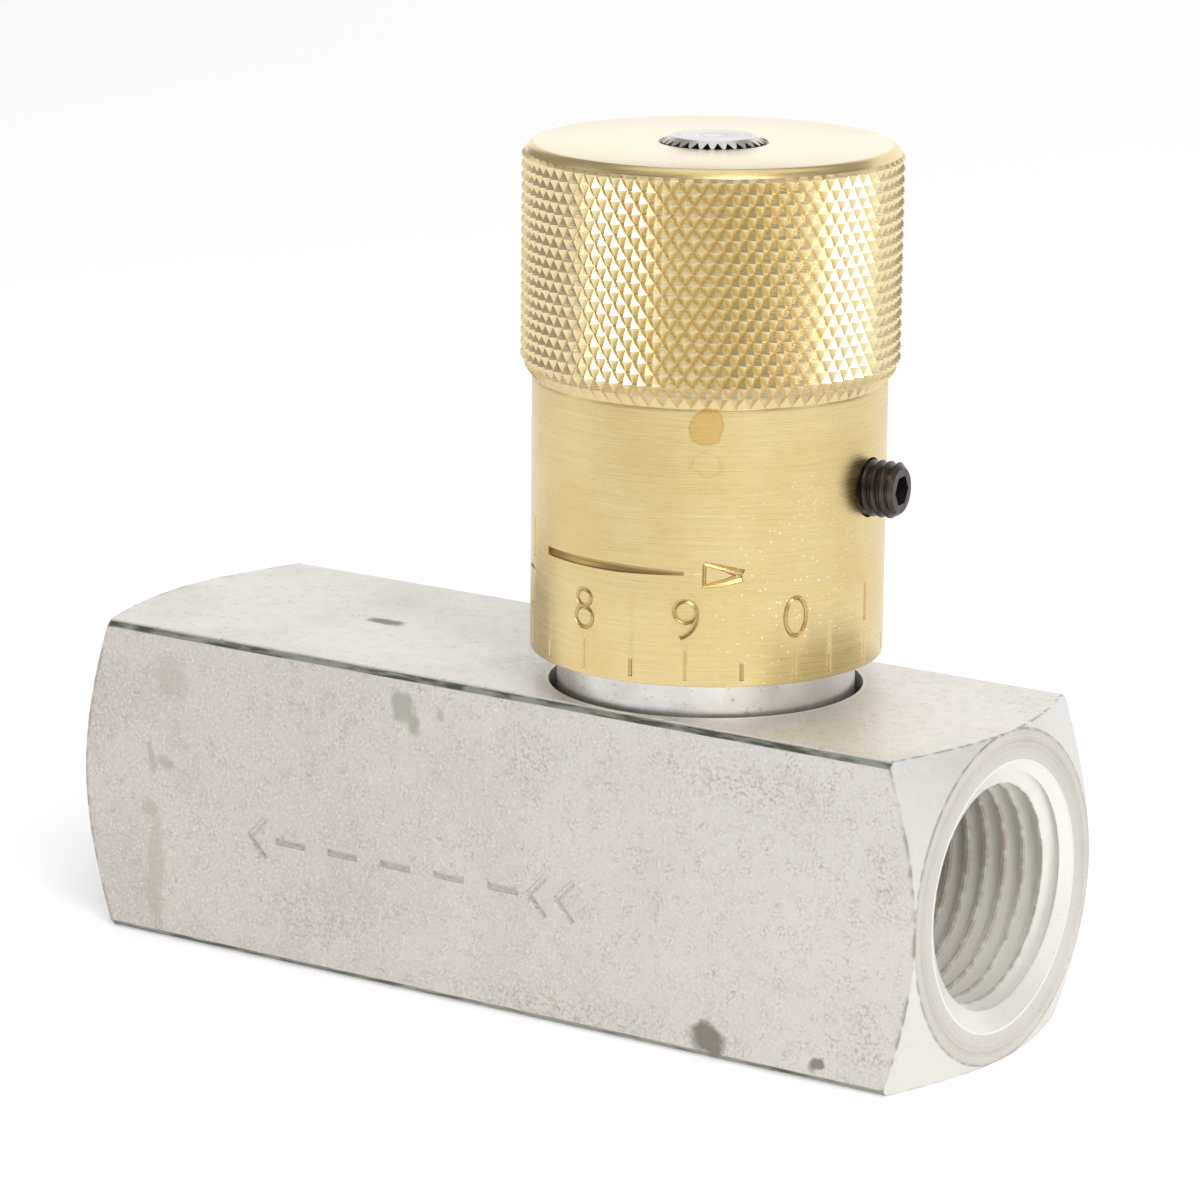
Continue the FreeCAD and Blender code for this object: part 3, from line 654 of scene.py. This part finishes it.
carve(spindle, die(STEM_PITCH, STEM_ROOT, DIE_CREST, DIE_OUTSIDE, DIE_BOTTOM, DIE_TOP))
soften_shading(spindle, 28)
print("spindle: faces", len(spindle.data.polygons), "open edges", open_edges(spindle))
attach(spindle, "knob_assembly")
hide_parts("needle_spindle")

# %% [markdown]
# ## Node helpers for finishes
# Every finish below is a small network of nodes on Object coordinates, turned into parts of
# the bar so that each number has a plain meaning. A mask is a value from 0 to 1 that says where
# something is: grain, a stain, a worn edge. The helpers only save typing.

# %% Finish helpers
def start_finish(name, **constants):
    """A material and its shader, with the values that are the same all over it."""
    finish = bpy.data.materials.new(name)
    finish.use_nodes = True
    shader = finish.node_tree.nodes["Principled BSDF"]
    for socket, value in constants.items():
        shader.inputs[socket.title()].default_value = value
    return finish, finish.node_tree, shader


def add(tree, kind, inputs, output=0, **settings):
    """Adds a node, sets or links its inputs, and returns one output."""
    made = tree.nodes.new(kind)
    for name, value in settings.items():
        setattr(made, name, value)
    for name, value in inputs.items():
        if isinstance(value, bpy.types.NodeSocket):
            tree.links.new(value, made.inputs[name])
        else:
            made.inputs[name].default_value = value
    return made.outputs[output]


def place_in_parts(tree):
    """The point on the piece, in parts of the bar."""
    place = add(tree, "ShaderNodeTexCoord", {}, "Object")
    return add(tree, "ShaderNodeVectorMath", {0: place, "Scale": 1 / PART}, operation="SCALE")


def calc(tree, operation, first, second=0.0):
    return add(tree, "ShaderNodeMath", {0: first, 1: second}, operation=operation)


def times(tree, first, *others):
    for other in others:
        first = calc(tree, "MULTIPLY", first, other)
    return first


def from_line(tree, across, beyond):
    """How far a point is from a line, by its two distances across it."""
    squares = [calc(tree, "MULTIPLY", side, side) for side in (across, beyond)]
    return calc(tree, "SQRT", calc(tree, "ADD", *squares))


def split(tree, position):
    """The x, y and z of a position."""
    axes = tree.nodes.new("ShaderNodeSeparateXYZ")
    tree.links.new(position, axes.inputs[0])
    return axes.outputs


def noise(tree, position, scale, detail=3.0, stretch=(1, 1, 1), roughness=0.55):
    """Cloudy values from 0 to 1; scale is features per part."""
    stretched = add(tree, "ShaderNodeVectorMath", {0: position, 1: stretch}, operation="MULTIPLY")
    return add(
        tree, "ShaderNodeTexNoise",
        {"Vector": stretched, "Scale": scale, "Detail": detail, "Roughness": roughness},
    )


def mask(tree, value, low, high):
    """0 below low and 1 above high; give high below low to turn it round."""
    return add(tree, "ShaderNodeMapRange", {"Value": value, "From Min": low, "From Max": high})


def paint(tree, amount, under, over):
    """Mixes two colours by a mask."""
    return add(
        tree, "ShaderNodeMix", {0: amount, 6: under, 7: over}, 2, data_type="RGBA"
    )


def spot(tree, position, centre, size, softness=0.4):
    """A soft-edged ellipsoid round centre; centre and size in parts."""
    away = add(tree, "ShaderNodeVectorMath", {0: position, 1: centre}, operation="SUBTRACT")
    scaled = add(tree, "ShaderNodeVectorMath", {0: away, 1: size}, operation="DIVIDE")
    distance = add(tree, "ShaderNodeVectorMath", {0: scaled}, "Value", operation="LENGTH")
    return mask(tree, distance, 1.0, 1.0 - softness)


def ragged(tree, position, amount=1.2, scale=0.7):
    """The position shaken by noise, which makes the edges of spots uneven."""
    shake = add(
        tree, "ShaderNodeTexNoise", {"Vector": position, "Scale": scale, "Detail": 3.0}, "Color"
    )
    centred = add(tree, "ShaderNodeVectorMath", {0: shake, 1: (0.5, 0.5, 0.5)}, operation="SUBTRACT")
    grown = add(tree, "ShaderNodeVectorMath", {0: centred, "Scale": amount * 2}, operation="SCALE")
    return add(tree, "ShaderNodeVectorMath", {0: position, 1: grown}, operation="ADD")


def bump(tree, shader, height, strength, depth):
    """Fine relief from a height value."""
    relief = add(
        tree, "ShaderNodeBump", {"Height": height, "Strength": strength, "Distance": depth * PART}, "Normal"
    )
    tree.links.new(relief, shader.inputs["Normal"])


def roughen(tree, shader, value, low, high):
    """Roughness that runs from low to high with a value."""
    spread = {"Value": value, "From Min": 0.3, "From Max": 0.7, "To Min": low, "To Max": high}
    tree.links.new(add(tree, "ShaderNodeMapRange", spread), shader.inputs["Roughness"])


def rgb(red, green, blue):
    return (red, green, blue, 1.0)

# %% [markdown]
# ## Plated steel
# The body is zinc plated over a drawn and tumbled bar: a pale warm grey with a fine, sandy
# grain, cloudy patches where the plating is thinner, darker broken edges, and stains from
# handling. Grain is high-frequency noise in the relief and, faintly, in the colour. The edge
# of the bar is found by arithmetic on the position, and the stains are soft spots with
# shaken outlines.

# %% Plated grey
TOP_HEIGHT = BODY_TOP / PART
END_DISTANCE = BODY_END / PART
KNOB_DISTANCE = KNOB_AXIS.x / PART


def plated_grey(tree, x, z, clouds, grain, coarse):
    """Cloudy plating, paler towards the near port, painted light on the top face, with bright and worn
    grain.
    """
    colour = paint(
        tree, mask(tree, clouds, 0.35, 0.68), rgb(0.64, 0.60, 0.56), rgb(0.55, 0.515, 0.475)
    )
    paler = times(tree, mask(tree, x, -38.0, 45.0), 0.6)
    colour = paint(tree, paler, colour, rgb(0.80, 0.765, 0.725))
    # Painted light: the top face is painted paler, as lit from above, in patches that follow the clouds.
    on_top_face = mask(tree, z, TOP_HEIGHT - 0.3, TOP_HEIGHT - 0.1)
    painted_top_light = times(tree, on_top_face, mask(tree, clouds, 0.1, 0.55), 0.85)
    colour = paint(tree, painted_top_light, colour, rgb(0.86, 0.835, 0.79))
    colour = paint(tree, mask(tree, grain, 0.5, 0.8), colour, rgb(0.82, 0.80, 0.77))
    worn = times(tree, mask(tree, grain, 0.5, 0.34), mask(tree, coarse, 0.42, 0.68), 0.8)
    return paint(tree, worn, colour, rgb(0.37, 0.335, 0.285))


print("body top at", round(TOP_HEIGHT, 2), "parts, ends at", round(END_DISTANCE, 2))

# %% [markdown]
# The ends need more arithmetic. How far a point is from the bore's line tells the flat end ring
# from the cone turned round it, and how far it is up and out together tells the broken long
# corners. Each place gets its own mask, and the masks are painted one over the other.

# %% Corners, ends and ports
RING_RADIUS = 15.85
CONE_SLOPE = math.tan(math.radians(26))
FLAT_DISTANCE = 15.8
PORT_SINK = 13.0
PORT_BOTTOM = 19.4


def corners_and_ends(tree, place, axes, clouds, coarse, colour):
    x, y, z = axes
    up = calc(tree, "ABSOLUTE", calc(tree, "SUBTRACT", z, BORE_HEIGHT / PART))
    out = calc(tree, "ABSOLUTE", y)
    corner = mask(tree, calc(tree, "ADD", up, out), 31.05, 31.13)
    corner = times(tree, corner, mask(tree, calc(tree, "SUBTRACT", up, out), 0.45, 0.2))
    streak = noise(tree, place, 1.0, 3.0, (0.25, 1.5, 1.5))
    corner_tone = paint(
        tree, mask(tree, streak, 0.45, 0.62), rgb(0.36, 0.37, 0.33), rgb(0.10, 0.105, 0.09)
    )
    colour = paint(tree, corner, colour, corner_tone)

    radius = from_line(tree, up, out)
    depth = calc(tree, "SUBTRACT", END_DISTANCE, calc(tree, "ABSOLUTE", x))
    cone = times(tree, calc(tree, "SUBTRACT", radius, RING_RADIUS), CONE_SLOPE)
    past_edge = calc(tree, "SUBTRACT", cone, depth)
    furthest = calc(tree, "MAXIMUM", up, out)
    on_flat = mask(tree, furthest, FLAT_DISTANCE - 0.2, FLAT_DISTANCE)
    rim = times(tree, mask(tree, past_edge, -0.45, 0.0), on_flat, mask(tree, coarse, 0.42, 0.6), 0.8)
    colour = paint(tree, rim, colour, rgb(0.27, 0.23, 0.17))
    off_flat = mask(tree, furthest, FLAT_DISTANCE + 0.06, FLAT_DISTANCE)
    beyond_ring = mask(tree, radius, RING_RADIUS - 0.05, RING_RADIUS + 0.1)
    on_cone = times(tree, mask(tree, past_edge, -0.12, -0.04), off_flat, beyond_ring, 0.75)
    colour = paint(tree, on_cone, colour, rgb(0.78, 0.775, 0.735))

    end_ring = times(
        tree, mask(tree, depth, 0.06, 0.03), mask(tree, radius, RING_RADIUS + 0.05, RING_RADIUS - 0.05)
    )
    ring_place = add(
        tree, "ShaderNodeCombineXYZ", {0: radius, 1: times(tree, x, 0.01), 2: 0.0}
    )
    turning = mask(tree, noise(tree, ring_place, 2.2, 3.0), 0.35, 0.65)
    ring_tone = paint(tree, turning, rgb(0.50, 0.46, 0.41), rgb(0.74, 0.72, 0.68))
    end_ring = times(tree, end_ring, mask(tree, clouds, 0.2, 0.7))
    colour = paint(tree, end_ring, colour, ring_tone)
    off_ring = calc(tree, "ABSOLUTE", calc(tree, "SUBTRACT", radius, RING_RADIUS + 0.05))
    ring_line = times(
        tree, mask(tree, off_ring, 0.16, 0.06), mask(tree, depth, 0.2, 0.1),
        mask(tree, coarse, 0.3, 0.55), 0.75,
    )
    colour = paint(tree, ring_line, colour, rgb(0.36, 0.31, 0.24))

    in_port = times(
        tree, mask(tree, radius, PORT_SINK + 0.02, PORT_SINK - 0.02),
        mask(tree, depth, PORT_BOTTOM + 0.1, PORT_BOTTOM - 0.1),
    )
    # Painted light: the inside of the port is painted near-white, which brightens the shaded bore.
    colour = paint(tree, times(tree, in_port, 0.75), colour, rgb(0.92, 0.915, 0.875))
    crest = PORT_CREST / PART
    crest_line = times(
        tree, mask(tree, radius, crest + 0.09, crest + 0.03), in_port,
        mask(tree, coarse, 0.38, 0.55), 0.5,
    )
    colour = paint(tree, crest_line, colour, rgb(0.46, 0.35, 0.22))
    knob_distance = from_line(tree, calc(tree, "SUBTRACT", x, KNOB_DISTANCE), y)
    # Painted light: the ring-shaped hollow round the collar, in the top face, is painted near-white, which
    # brightens its shaded walls and floor.
    painted_recess_light = times(
        tree, mask(tree, knob_distance, 15.5, 15.35),
        mask(tree, z, TOP_HEIGHT - 3.4, TOP_HEIGHT - 3.2), 0.8,
    )
    return paint(tree, painted_recess_light, colour, rgb(0.90, 0.885, 0.85))

# %% Stains and rough patches
GREY_STAIN = rgb(0.40, 0.385, 0.33)
PALE_STAIN = rgb(0.42, 0.40, 0.36)
BLACK_STAIN = rgb(0.17, 0.15, 0.12)
STAINS = [  # centre, half sizes, colour, strength
    ((-9.2, -15.9, 28.6), (1.5, 2, 1.9), GREY_STAIN, 0.8),
    ((-7.8, -15.9, 26.9), (0.9, 2, 1.6), GREY_STAIN, 0.8),
    ((-4.8, -15.9, 28.4), (0.6, 2, 1.0), rgb(0.44, 0.42, 0.36), 0.6),
    ((-40.2, -15.9, 18.4), (0.6, 2, 2.4), PALE_STAIN, 0.6),
    ((-38.4, -15.9, 18.2), (1.3, 2, 0.9), PALE_STAIN, 0.6),
    ((-40.6, -15.9, 13.0), (1.3, 2, 1.0), rgb(0.45, 0.42, 0.36), 0.5),
    ((-39.8, -15.9, 7.0), (1.3, 2, 8.0), rgb(0.47, 0.42, 0.35), 0.45),
    ((-37.8, -15.9, 27.0), (2.5, 2, 2.5), rgb(0.46, 0.43, 0.37), 0.4),
    ((-23.0, 0.0, 31.75), (2.6, 1.2, 1.5), rgb(0.13, 0.11, 0.10), 0.85),
    ((26.4, -15.9, 1.9), (2.4, 2, 1.7), BLACK_STAIN, 0.85),
    ((38.6, -15.9, 1.7), (1.1, 2, 0.9), BLACK_STAIN, 0.8),
]
ROUGH_PATCHES = [  # centre, half sizes
    ((43.5, -15.9, 5.0), (4.5, 2, 5.5)), ((45.0, -15.9, 20.5), (2.5, 2, 6.0)),
    ((10.0, -15.9, 1.8), (24.0, 2, 2.4)), ((-20.0, -15.9, 5.5), (10.0, 2, 4.0)),
    ((6.0, -15.9, 25.5), (4.5, 2, 4.5)), ((31.0, -15.9, 27.0), (14.0, 2, 3.5)),
    ((-2.0, 0.0, 31.8), (3.5, 15, 1.5)),
]


def stained(tree, place, colour):
    shaken = ragged(tree, place, 1.1, 0.6)
    for centre, size, stain, strength in STAINS:
        amount = times(tree, spot(tree, shaken, centre, size), strength)
        colour = paint(tree, amount, colour, stain)
    speckle = mask(tree, noise(tree, place, 2.6, 3.0), 0.5, 0.62)
    for centre, size in ROUGH_PATCHES:
        specks = times(tree, spot(tree, shaken, centre, size, 0.8), speckle, 0.5)
        colour = paint(tree, specks, colour, rgb(0.33, 0.30, 0.25))
    return colour


print("stains:", len(STAINS), "rough patches:", len(ROUGH_PATCHES))

# %% Zinc-plated body finish
def zinc_plate():
    finish, tree, shader = start_finish("zinc_plate", metallic=0.55)
    place = place_in_parts(tree)
    axes = split(tree, place)
    clouds = noise(tree, place, 0.09, 4.0)
    grain = noise(tree, place, 3.2, 2.5)
    coarse = noise(tree, place, 0.8, 3.0)
    colour = plated_grey(tree, axes[0], axes[2], clouds, grain, coarse)
    colour = corners_and_ends(tree, place, axes, clouds, coarse, colour)
    colour = stained(tree, place, colour)
    tree.links.new(colour, shader.inputs["Base Color"])
    roughen(tree, shader, grain, 0.36, 0.56)
    height = calc(tree, "ADD", grain, times(tree, coarse, 0.8))
    bump(tree, shader, height, 0.55, 0.06)
    return finish


finish_zinc = zinc_plate()
print("zinc finish: nodes", len(finish_zinc.node_tree.nodes))

# %% [markdown]
# ## Brass
# Turned brass is not one flat yellow: the lathe leaves fine lines round it, the skirt has been
# rubbed with abrasive, and air and fingers have browned it in places. The lines are noise
# squeezed along the axis, so it changes quickly from line to line but hardly at all along
# them. On the flat top the same lines become rings, so there the noise is read by radius.

# %% Brass tones
KNURL_FOOT = KNURL_START / PART
KNURL_HEAD = KNURL_END / PART
KNURL_TIP = KNURL_RADIUS / PART
SKIRT_SIDE = SKIRT_RADIUS / PART
HUB_SIDE = HUB_BORE / PART
TOP_OF_KNOB = KNOB_TOP / PART


def brass_tones(tree, radius, z, lines, clouds, on_top):
    """Lathe lines, tarnish, a knurl painted paler as painted light with painted shade in its valleys, dark
    engraving, a painted reflection on the top and painted shade round the hub.
    """
    colour = paint(
        tree, mask(tree, lines, 0.3, 0.7), rgb(0.67, 0.53, 0.24), rgb(0.80, 0.665, 0.36)
    )
    tarnish = times(tree, mask(tree, clouds, 0.45, 0.8), 0.55)
    colour = paint(tree, tarnish, colour, rgb(0.66, 0.45, 0.17))
    in_knurl = times(
        tree, mask(tree, z, KNURL_FOOT, KNURL_FOOT + 0.5), mask(tree, z, KNURL_HEAD + 0.5, KNURL_HEAD)
    )
    # Painted light: the knurled band is painted paler, which brightens it as if lit.
    colour = paint(tree, times(tree, in_knurl, 0.6), colour, rgb(0.93, 0.81, 0.54))
    # Painted shade: the knurl's valleys are painted darker brown, where shade falls between the pyramids.
    painted_valley_shade = times(tree, in_knurl, mask(tree, radius, KNURL_TIP - 0.15, KNURL_TIP - 0.55), 0.4)
    colour = paint(tree, painted_valley_shade, colour, rgb(0.60, 0.43, 0.19))
    engraved = times(
        tree, mask(tree, radius, SKIRT_SIDE - 0.03, SKIRT_SIDE - 0.14), mask(tree, radius, 15.8, 16.0),
        mask(tree, z, KNURL_FOOT - 0.5, KNURL_FOOT - 0.8), 0.65,
    )
    colour = paint(tree, engraved, colour, rgb(0.42, 0.27, 0.09))
    # Painted reflection: the flat top is painted pale and less yellow, as the bright light above it would
    # look.
    painted_top_reflection = times(tree, on_top, mask(tree, lines, 0.1, 0.6), 0.75)
    colour = paint(tree, painted_top_reflection, colour, rgb(0.88, 0.83, 0.74))
    # Painted shade: the countersink round the spindle is painted dark brown, where shade falls in the gap.
    painted_hub_shade = times(
        tree, mask(tree, radius, HUB_SIDE + 0.34, HUB_SIDE + 0.28),
        mask(tree, z, TOP_OF_KNOB - 2, TOP_OF_KNOB - 1), 0.9,
    )
    return paint(tree, painted_hub_shade, colour, rgb(0.16, 0.10, 0.05))


print("knurl from", round(KNURL_FOOT, 2), "to", round(KNURL_HEAD, 2), "parts")

# %% Marks on the brass
DROP_ANGLE = -57.6
DROP_HEIGHT = 59.7
FAINT_HEIGHT = 56.2
SPECK_ANGLE = -27
SPECK_HEIGHT = 43.0


def skirt_point(angle, height):
    """A point of the skirt about the knob's axis, in parts."""
    turn = math.radians(angle)
    return (SKIRT_SIDE * math.cos(turn), SKIRT_SIDE * math.sin(turn), height)


def marked(tree, local, colour):
    """A brown drop with a darker rim, a fainter ring below it, and pale specks."""
    shaken = ragged(tree, local, 0.75, 0.6)
    drop_centre = skirt_point(DROP_ANGLE, DROP_HEIGHT)
    drop = spot(tree, shaken, drop_centre, (1.75, 1.75, 1.75), 0.12)
    drop_rim = calc(tree, "SUBTRACT", drop, spot(tree, shaken, drop_centre, (1.6, 1.6, 1.6), 0.12))
    colour = paint(tree, times(tree, drop, 0.75), colour, rgb(0.66, 0.41, 0.13))
    colour = paint(tree, times(tree, drop_rim, 0.5), colour, rgb(0.52, 0.28, 0.07))
    faint_centre = skirt_point(DROP_ANGLE, FAINT_HEIGHT)
    faint = spot(tree, shaken, faint_centre, (1.6, 1.6, 1.25), 0.1)
    faint_rim = calc(tree, "SUBTRACT", faint, spot(tree, shaken, faint_centre, (1.4, 1.4, 1.1), 0.15))
    colour = paint(tree, times(tree, faint_rim, 0.4), colour, rgb(0.60, 0.38, 0.12))
    cells = add(tree, "ShaderNodeTexVoronoi", {"Vector": local, "Scale": 1.5}, "Distance")
    speck_centre = skirt_point(SPECK_ANGLE, SPECK_HEIGHT)
    speck_area = spot(tree, local, speck_centre, (10.5, 10.5, 15.0), 0.7)
    specks = times(tree, mask(tree, cells, 0.155, 0.11), speck_area)
    return paint(tree, specks, colour, rgb(0.97, 0.95, 0.88))


print("drop at", [round(value, 2) for value in skirt_point(DROP_ANGLE, DROP_HEIGHT)])

# %% Brass finish
def about_knob(tree):
    """The point on the piece, in parts, measured from the knob's axis."""
    place = place_in_parts(tree)
    axis = tuple(KNOB_AXIS / PART)
    return add(tree, "ShaderNodeVectorMath", {0: place, 1: axis}, operation="SUBTRACT")


def brass_finish():
    finish, tree, shader = start_finish("worn_brass", metallic=1.0)
    local = about_knob(tree)
    x, y, z = split(tree, local)
    radius = from_line(tree, x, y)
    on_top = mask(tree, z, TOP_OF_KNOB - 0.06, TOP_OF_KNOB - 0.02)
    side_lines = noise(tree, local, 1.0, 4.0, (0.1, 0.1, 9.0), 0.7)
    ring_place = add(tree, "ShaderNodeCombineXYZ", {0: radius, 1: 0.0, 2: 0.0})
    ring_lines = noise(tree, ring_place, 5.0, 3.0)
    lines = add(tree, "ShaderNodeMix", {0: on_top, 2: side_lines, 3: ring_lines})
    clouds = noise(tree, local, 0.12, 4.0)
    colour = brass_tones(tree, radius, z, lines, clouds, on_top)
    colour = marked(tree, local, colour)
    tree.links.new(colour, shader.inputs["Base Color"])
    roughen(tree, shader, lines, 0.22, 0.36)
    bump(tree, shader, lines, 0.6, 0.03)
    return finish


finish_brass = brass_finish()
print("brass finish: nodes", len(finish_brass.node_tree.nodes))

# %% [markdown]
# ## Bright steel, black steel and the hidden pieces
# The bonnet's collar and the spindle's end are bare turned steel, with rings from the lathe.
# The lock screw is blackened, slightly brown where the black has rubbed off. The pieces inside
# the valve get finishes too: one recipe, with two tones and a grain, serves metal, rubber and
# plastic, and stretching the grain turns it into lines across an axis.

# %% Turned steel about the knob's axis
END_CONE_SLOPE = 1.58  # how fast the spindle's end narrows upwards


def turned_steel(name, light, dark, rough_low, rough_high):
    finish, tree, shader = start_finish(name, metallic=1.0)
    local = about_knob(tree)
    x, y, z = split(tree, local)
    radius = from_line(tree, x, y)
    line_place = add(
        tree, "ShaderNodeCombineXYZ", {0: times(tree, radius, 5.0), 1: 0.0, 2: times(tree, z, 3.0)}
    )
    lines = noise(tree, line_place, 1.0, 3.0)
    clouds = noise(tree, local, 0.25, 4.0)
    pits = noise(tree, local, 2.2, 2.0)
    colour = paint(tree, mask(tree, clouds, 0.4, 0.75), light, dark)
    colour = paint(tree, times(tree, mask(tree, pits, 0.62, 0.72), 0.5), colour, rgb(0.35, 0.32, 0.28))
    # Painted shade: the slots between the spindle's serrations, just above the knob, are painted nearly
    # black.
    above_knob = calc(tree, "SUBTRACT", z, TOP_OF_KNOB)
    cone_radius = calc(tree, "SUBTRACT", SERRATION_RADIUS / PART, times(tree, above_knob, END_CONE_SLOPE))
    in_groove = mask(tree, calc(tree, "SUBTRACT", cone_radius, radius), 0.06, 0.16)
    painted_groove_shade = times(
        tree, in_groove, times(tree, mask(tree, above_knob, -2.0, -1.0), mask(tree, above_knob, 0.58, 0.54)),
        0.85,
    )
    colour = paint(tree, painted_groove_shade, colour, rgb(0.10, 0.075, 0.05))
    tree.links.new(colour, shader.inputs["Base Color"])
    roughen(tree, shader, lines, rough_low, rough_high)
    bump(tree, shader, lines, 0.4, 0.02)
    return finish


finish_collar = turned_steel(
    "turned_collar_steel", rgb(0.80, 0.78, 0.75), rgb(0.66, 0.63, 0.60), 0.26, 0.42
)
finish_spindle = turned_steel(
    "turned_spindle_steel", rgb(0.66, 0.65, 0.64), rgb(0.50, 0.48, 0.46), 0.2, 0.4
)
print("turned steel:", finish_collar.name, finish_spindle.name)

# %% Plain metals, rubber and plastic
def grained(name, light, dark, metallic, roughness, scale, stretch=(1, 1, 1)):
    """One recipe for the small pieces: two tones, a grain, and a roughness that follows it."""
    finish, tree, shader = start_finish(name, metallic=metallic)
    place = place_in_parts(tree)
    grain = noise(tree, place, scale, 3.0, stretch)
    clouds = noise(tree, place, 0.35, 3.0)
    colour = paint(tree, mask(tree, clouds, 0.35, 0.7), light, dark)
    colour = paint(tree, times(tree, mask(tree, grain, 0.5, 0.75), 0.35), colour, dark)
    tree.links.new(colour, shader.inputs["Base Color"])
    roughen(tree, shader, grain, roughness - 0.06, roughness + 0.08)
    bump(tree, shader, grain, 0.4, 0.015)
    return finish


ACROSS_BORE = (9.0, 0.4, 0.4)
finish_black = grained(
    "blackened_steel", rgb(0.040, 0.035, 0.031), rgb(0.10, 0.078, 0.060), 0.85, 0.32, 1.2
)
finish_hard = grained(
    "ground_steel", rgb(0.60, 0.60, 0.61), rgb(0.46, 0.46, 0.47), 1.0, 0.26, 1.0, ACROSS_BORE
)
finish_spring = grained(
    "spring_steel", rgb(0.46, 0.46, 0.48), rgb(0.34, 0.34, 0.36), 1.0, 0.32, 1.5
)
finish_rubber = grained(
    "seal_rubber", rgb(0.030, 0.030, 0.031), rgb(0.018, 0.018, 0.018), 0.0, 0.58, 3.0
)
finish_backup = grained(
    "backup_ring_plastic", rgb(0.82, 0.80, 0.75), rgb(0.74, 0.72, 0.66), 0.0, 0.42, 2.0
)
finish_seal = grained(
    "seal_plastic", rgb(0.30, 0.18, 0.10), rgb(0.22, 0.13, 0.07), 0.0, 0.38, 2.0
)
finish_pad = grained("brass_pad", rgb(0.80, 0.60, 0.27), rgb(0.68, 0.47, 0.19), 1.0, 0.30, 1.5)
print("small pieces' finishes made")

# %% Give each piece its finish
finish_of_node = {
    "needle_seat": finish_hard, "bonnet": finish_collar, "bonnet_o_ring": finish_rubber,
    "stem_o_ring": finish_rubber, "stem_backup_ring": finish_backup, "lock_pad": finish_pad,
    "check_poppet": finish_hard, "poppet_seal": finish_seal, "seal_washer": finish_hard,
    "seal_screw": finish_hard, "check_spring": finish_spring, "spring_guide": finish_collar,
    "retaining_ring": finish_spring,
}


def give_finish(made, finish):
    made.data.materials.clear()
    made.data.materials.append(finish)


for node_name, node_finish in finish_of_node.items():
    give_finish(nodes[node_name], node_finish)
give_finish(body, finish_zinc)
give_finish(knob, finish_brass)
give_finish(lock_screw, finish_black)
give_finish(spindle, finish_spindle)
print("finishes:", sorted(m.name for m in bpy.data.materials if m.users))

# %% [markdown]
# ## Floor, light and camera
# The valve stands on a plain pale floor. Two soft lights do most of the work: a softbox in
# front on the right, which brightens the brass and the near port, and a wide panel far behind,
# which lights the floor and the upper faces. A panel above, a weak one at each side and a pale
# world fill the shadows. The camera has a long lens and looks slightly down, from the front
# and to the right.

# %% Floor
FLOOR_RADIUS = 6.0


def pale_floor():
    shape = bmesh.new()
    bmesh.ops.create_circle(shape, cap_ends=True, segments=96, radius=FLOOR_RADIUS)
    floor = as_object(shape, "floor")
    finish, tree, shader = start_finish("floor_white", roughness=0.8)
    shader.inputs["Emission Color"].default_value = rgb(1, 1, 1)
    shader.inputs["Emission Strength"].default_value = 0.22
    place = place_in_parts(tree)
    tone = noise(tree, place, 0.004, 2.0)
    colour = paint(tree, tone, rgb(0.93, 0.93, 0.93), rgb(0.95, 0.95, 0.95))
    tree.links.new(colour, shader.inputs["Base Color"])
    give_finish(floor, finish)
    return floor


pale_floor()

# %% Lights
LIGHT_TARGET = Vector((0.005, 0, 0.04))


def panel(name, centre, width, height, strength):
    light = bpy.data.lights.new(name, "AREA")
    light.shape = "RECTANGLE"
    light.size, light.size_y = width, height
    light.energy = strength
    made = bpy.data.objects.new(name, light)
    made.location = centre
    made.rotation_euler = (LIGHT_TARGET - Vector(centre)).to_track_quat("-Z", "Y").to_euler()
    made.visible_camera = False
    bpy.context.scene.collection.objects.link(made)
    return made


panel("light_above", (0.0, 0.1, 0.9), 0.8, 0.8, 1.7)
panel("softbox_front_right", (0.575, -0.453, 0.65), 0.5, 0.6, 5.0)
panel("light_left", (-0.75, -0.45, 0.35), 0.35, 0.7, 0.6)
panel("light_right", (0.9, 0.15, 0.3), 0.3, 0.5, 0.35)
panel("light_back", (-0.3, 1.2, 0.4), 2.2, 0.9, 5.6)

world = bpy.data.worlds.new("studio")
world.use_nodes = True
bpy.context.scene.world = world
background = world.node_tree.nodes["Background"]
background.inputs["Color"].default_value = rgb(1.0, 0.995, 0.985)
background.inputs["Strength"].default_value = 0.38
bpy.context.scene.view_settings.view_transform = "Standard"

# %% Camera
CAMERA_TURN = math.radians(34.5115)
CAMERA_TILT = math.radians(13.3960)
CAMERA_ROLL = math.radians(0.5728)
CAMERA_DISTANCE = 518.69 * PART
CAMERA_TARGET = Vector((2.8453, 0, 37.687)) * PART
CAMERA_LENS = 160.957
level = math.cos(CAMERA_TILT)
backward = Vector((
    math.sin(CAMERA_TURN) * level, -math.cos(CAMERA_TURN) * level, math.sin(CAMERA_TILT),
))
rightward = Vector((math.cos(CAMERA_TURN), math.sin(CAMERA_TURN), 0))
upright = backward.cross(rightward)
rolled_right = rightward * math.cos(CAMERA_ROLL) + upright * math.sin(CAMERA_ROLL)
rolled_up = upright * math.cos(CAMERA_ROLL) - rightward * math.sin(CAMERA_ROLL)
lens = bpy.data.cameras.new("camera")
lens.lens = CAMERA_LENS
lens.sensor_width = 36.0
camera = bpy.data.objects.new("camera", lens)
camera.matrix_world = Matrix.Translation(CAMERA_TARGET + backward * CAMERA_DISTANCE) @ Matrix(
    (rolled_right, rolled_up, backward)
).transposed().to_4x4()
bpy.context.scene.collection.objects.link(camera)
bpy.context.scene.camera = camera
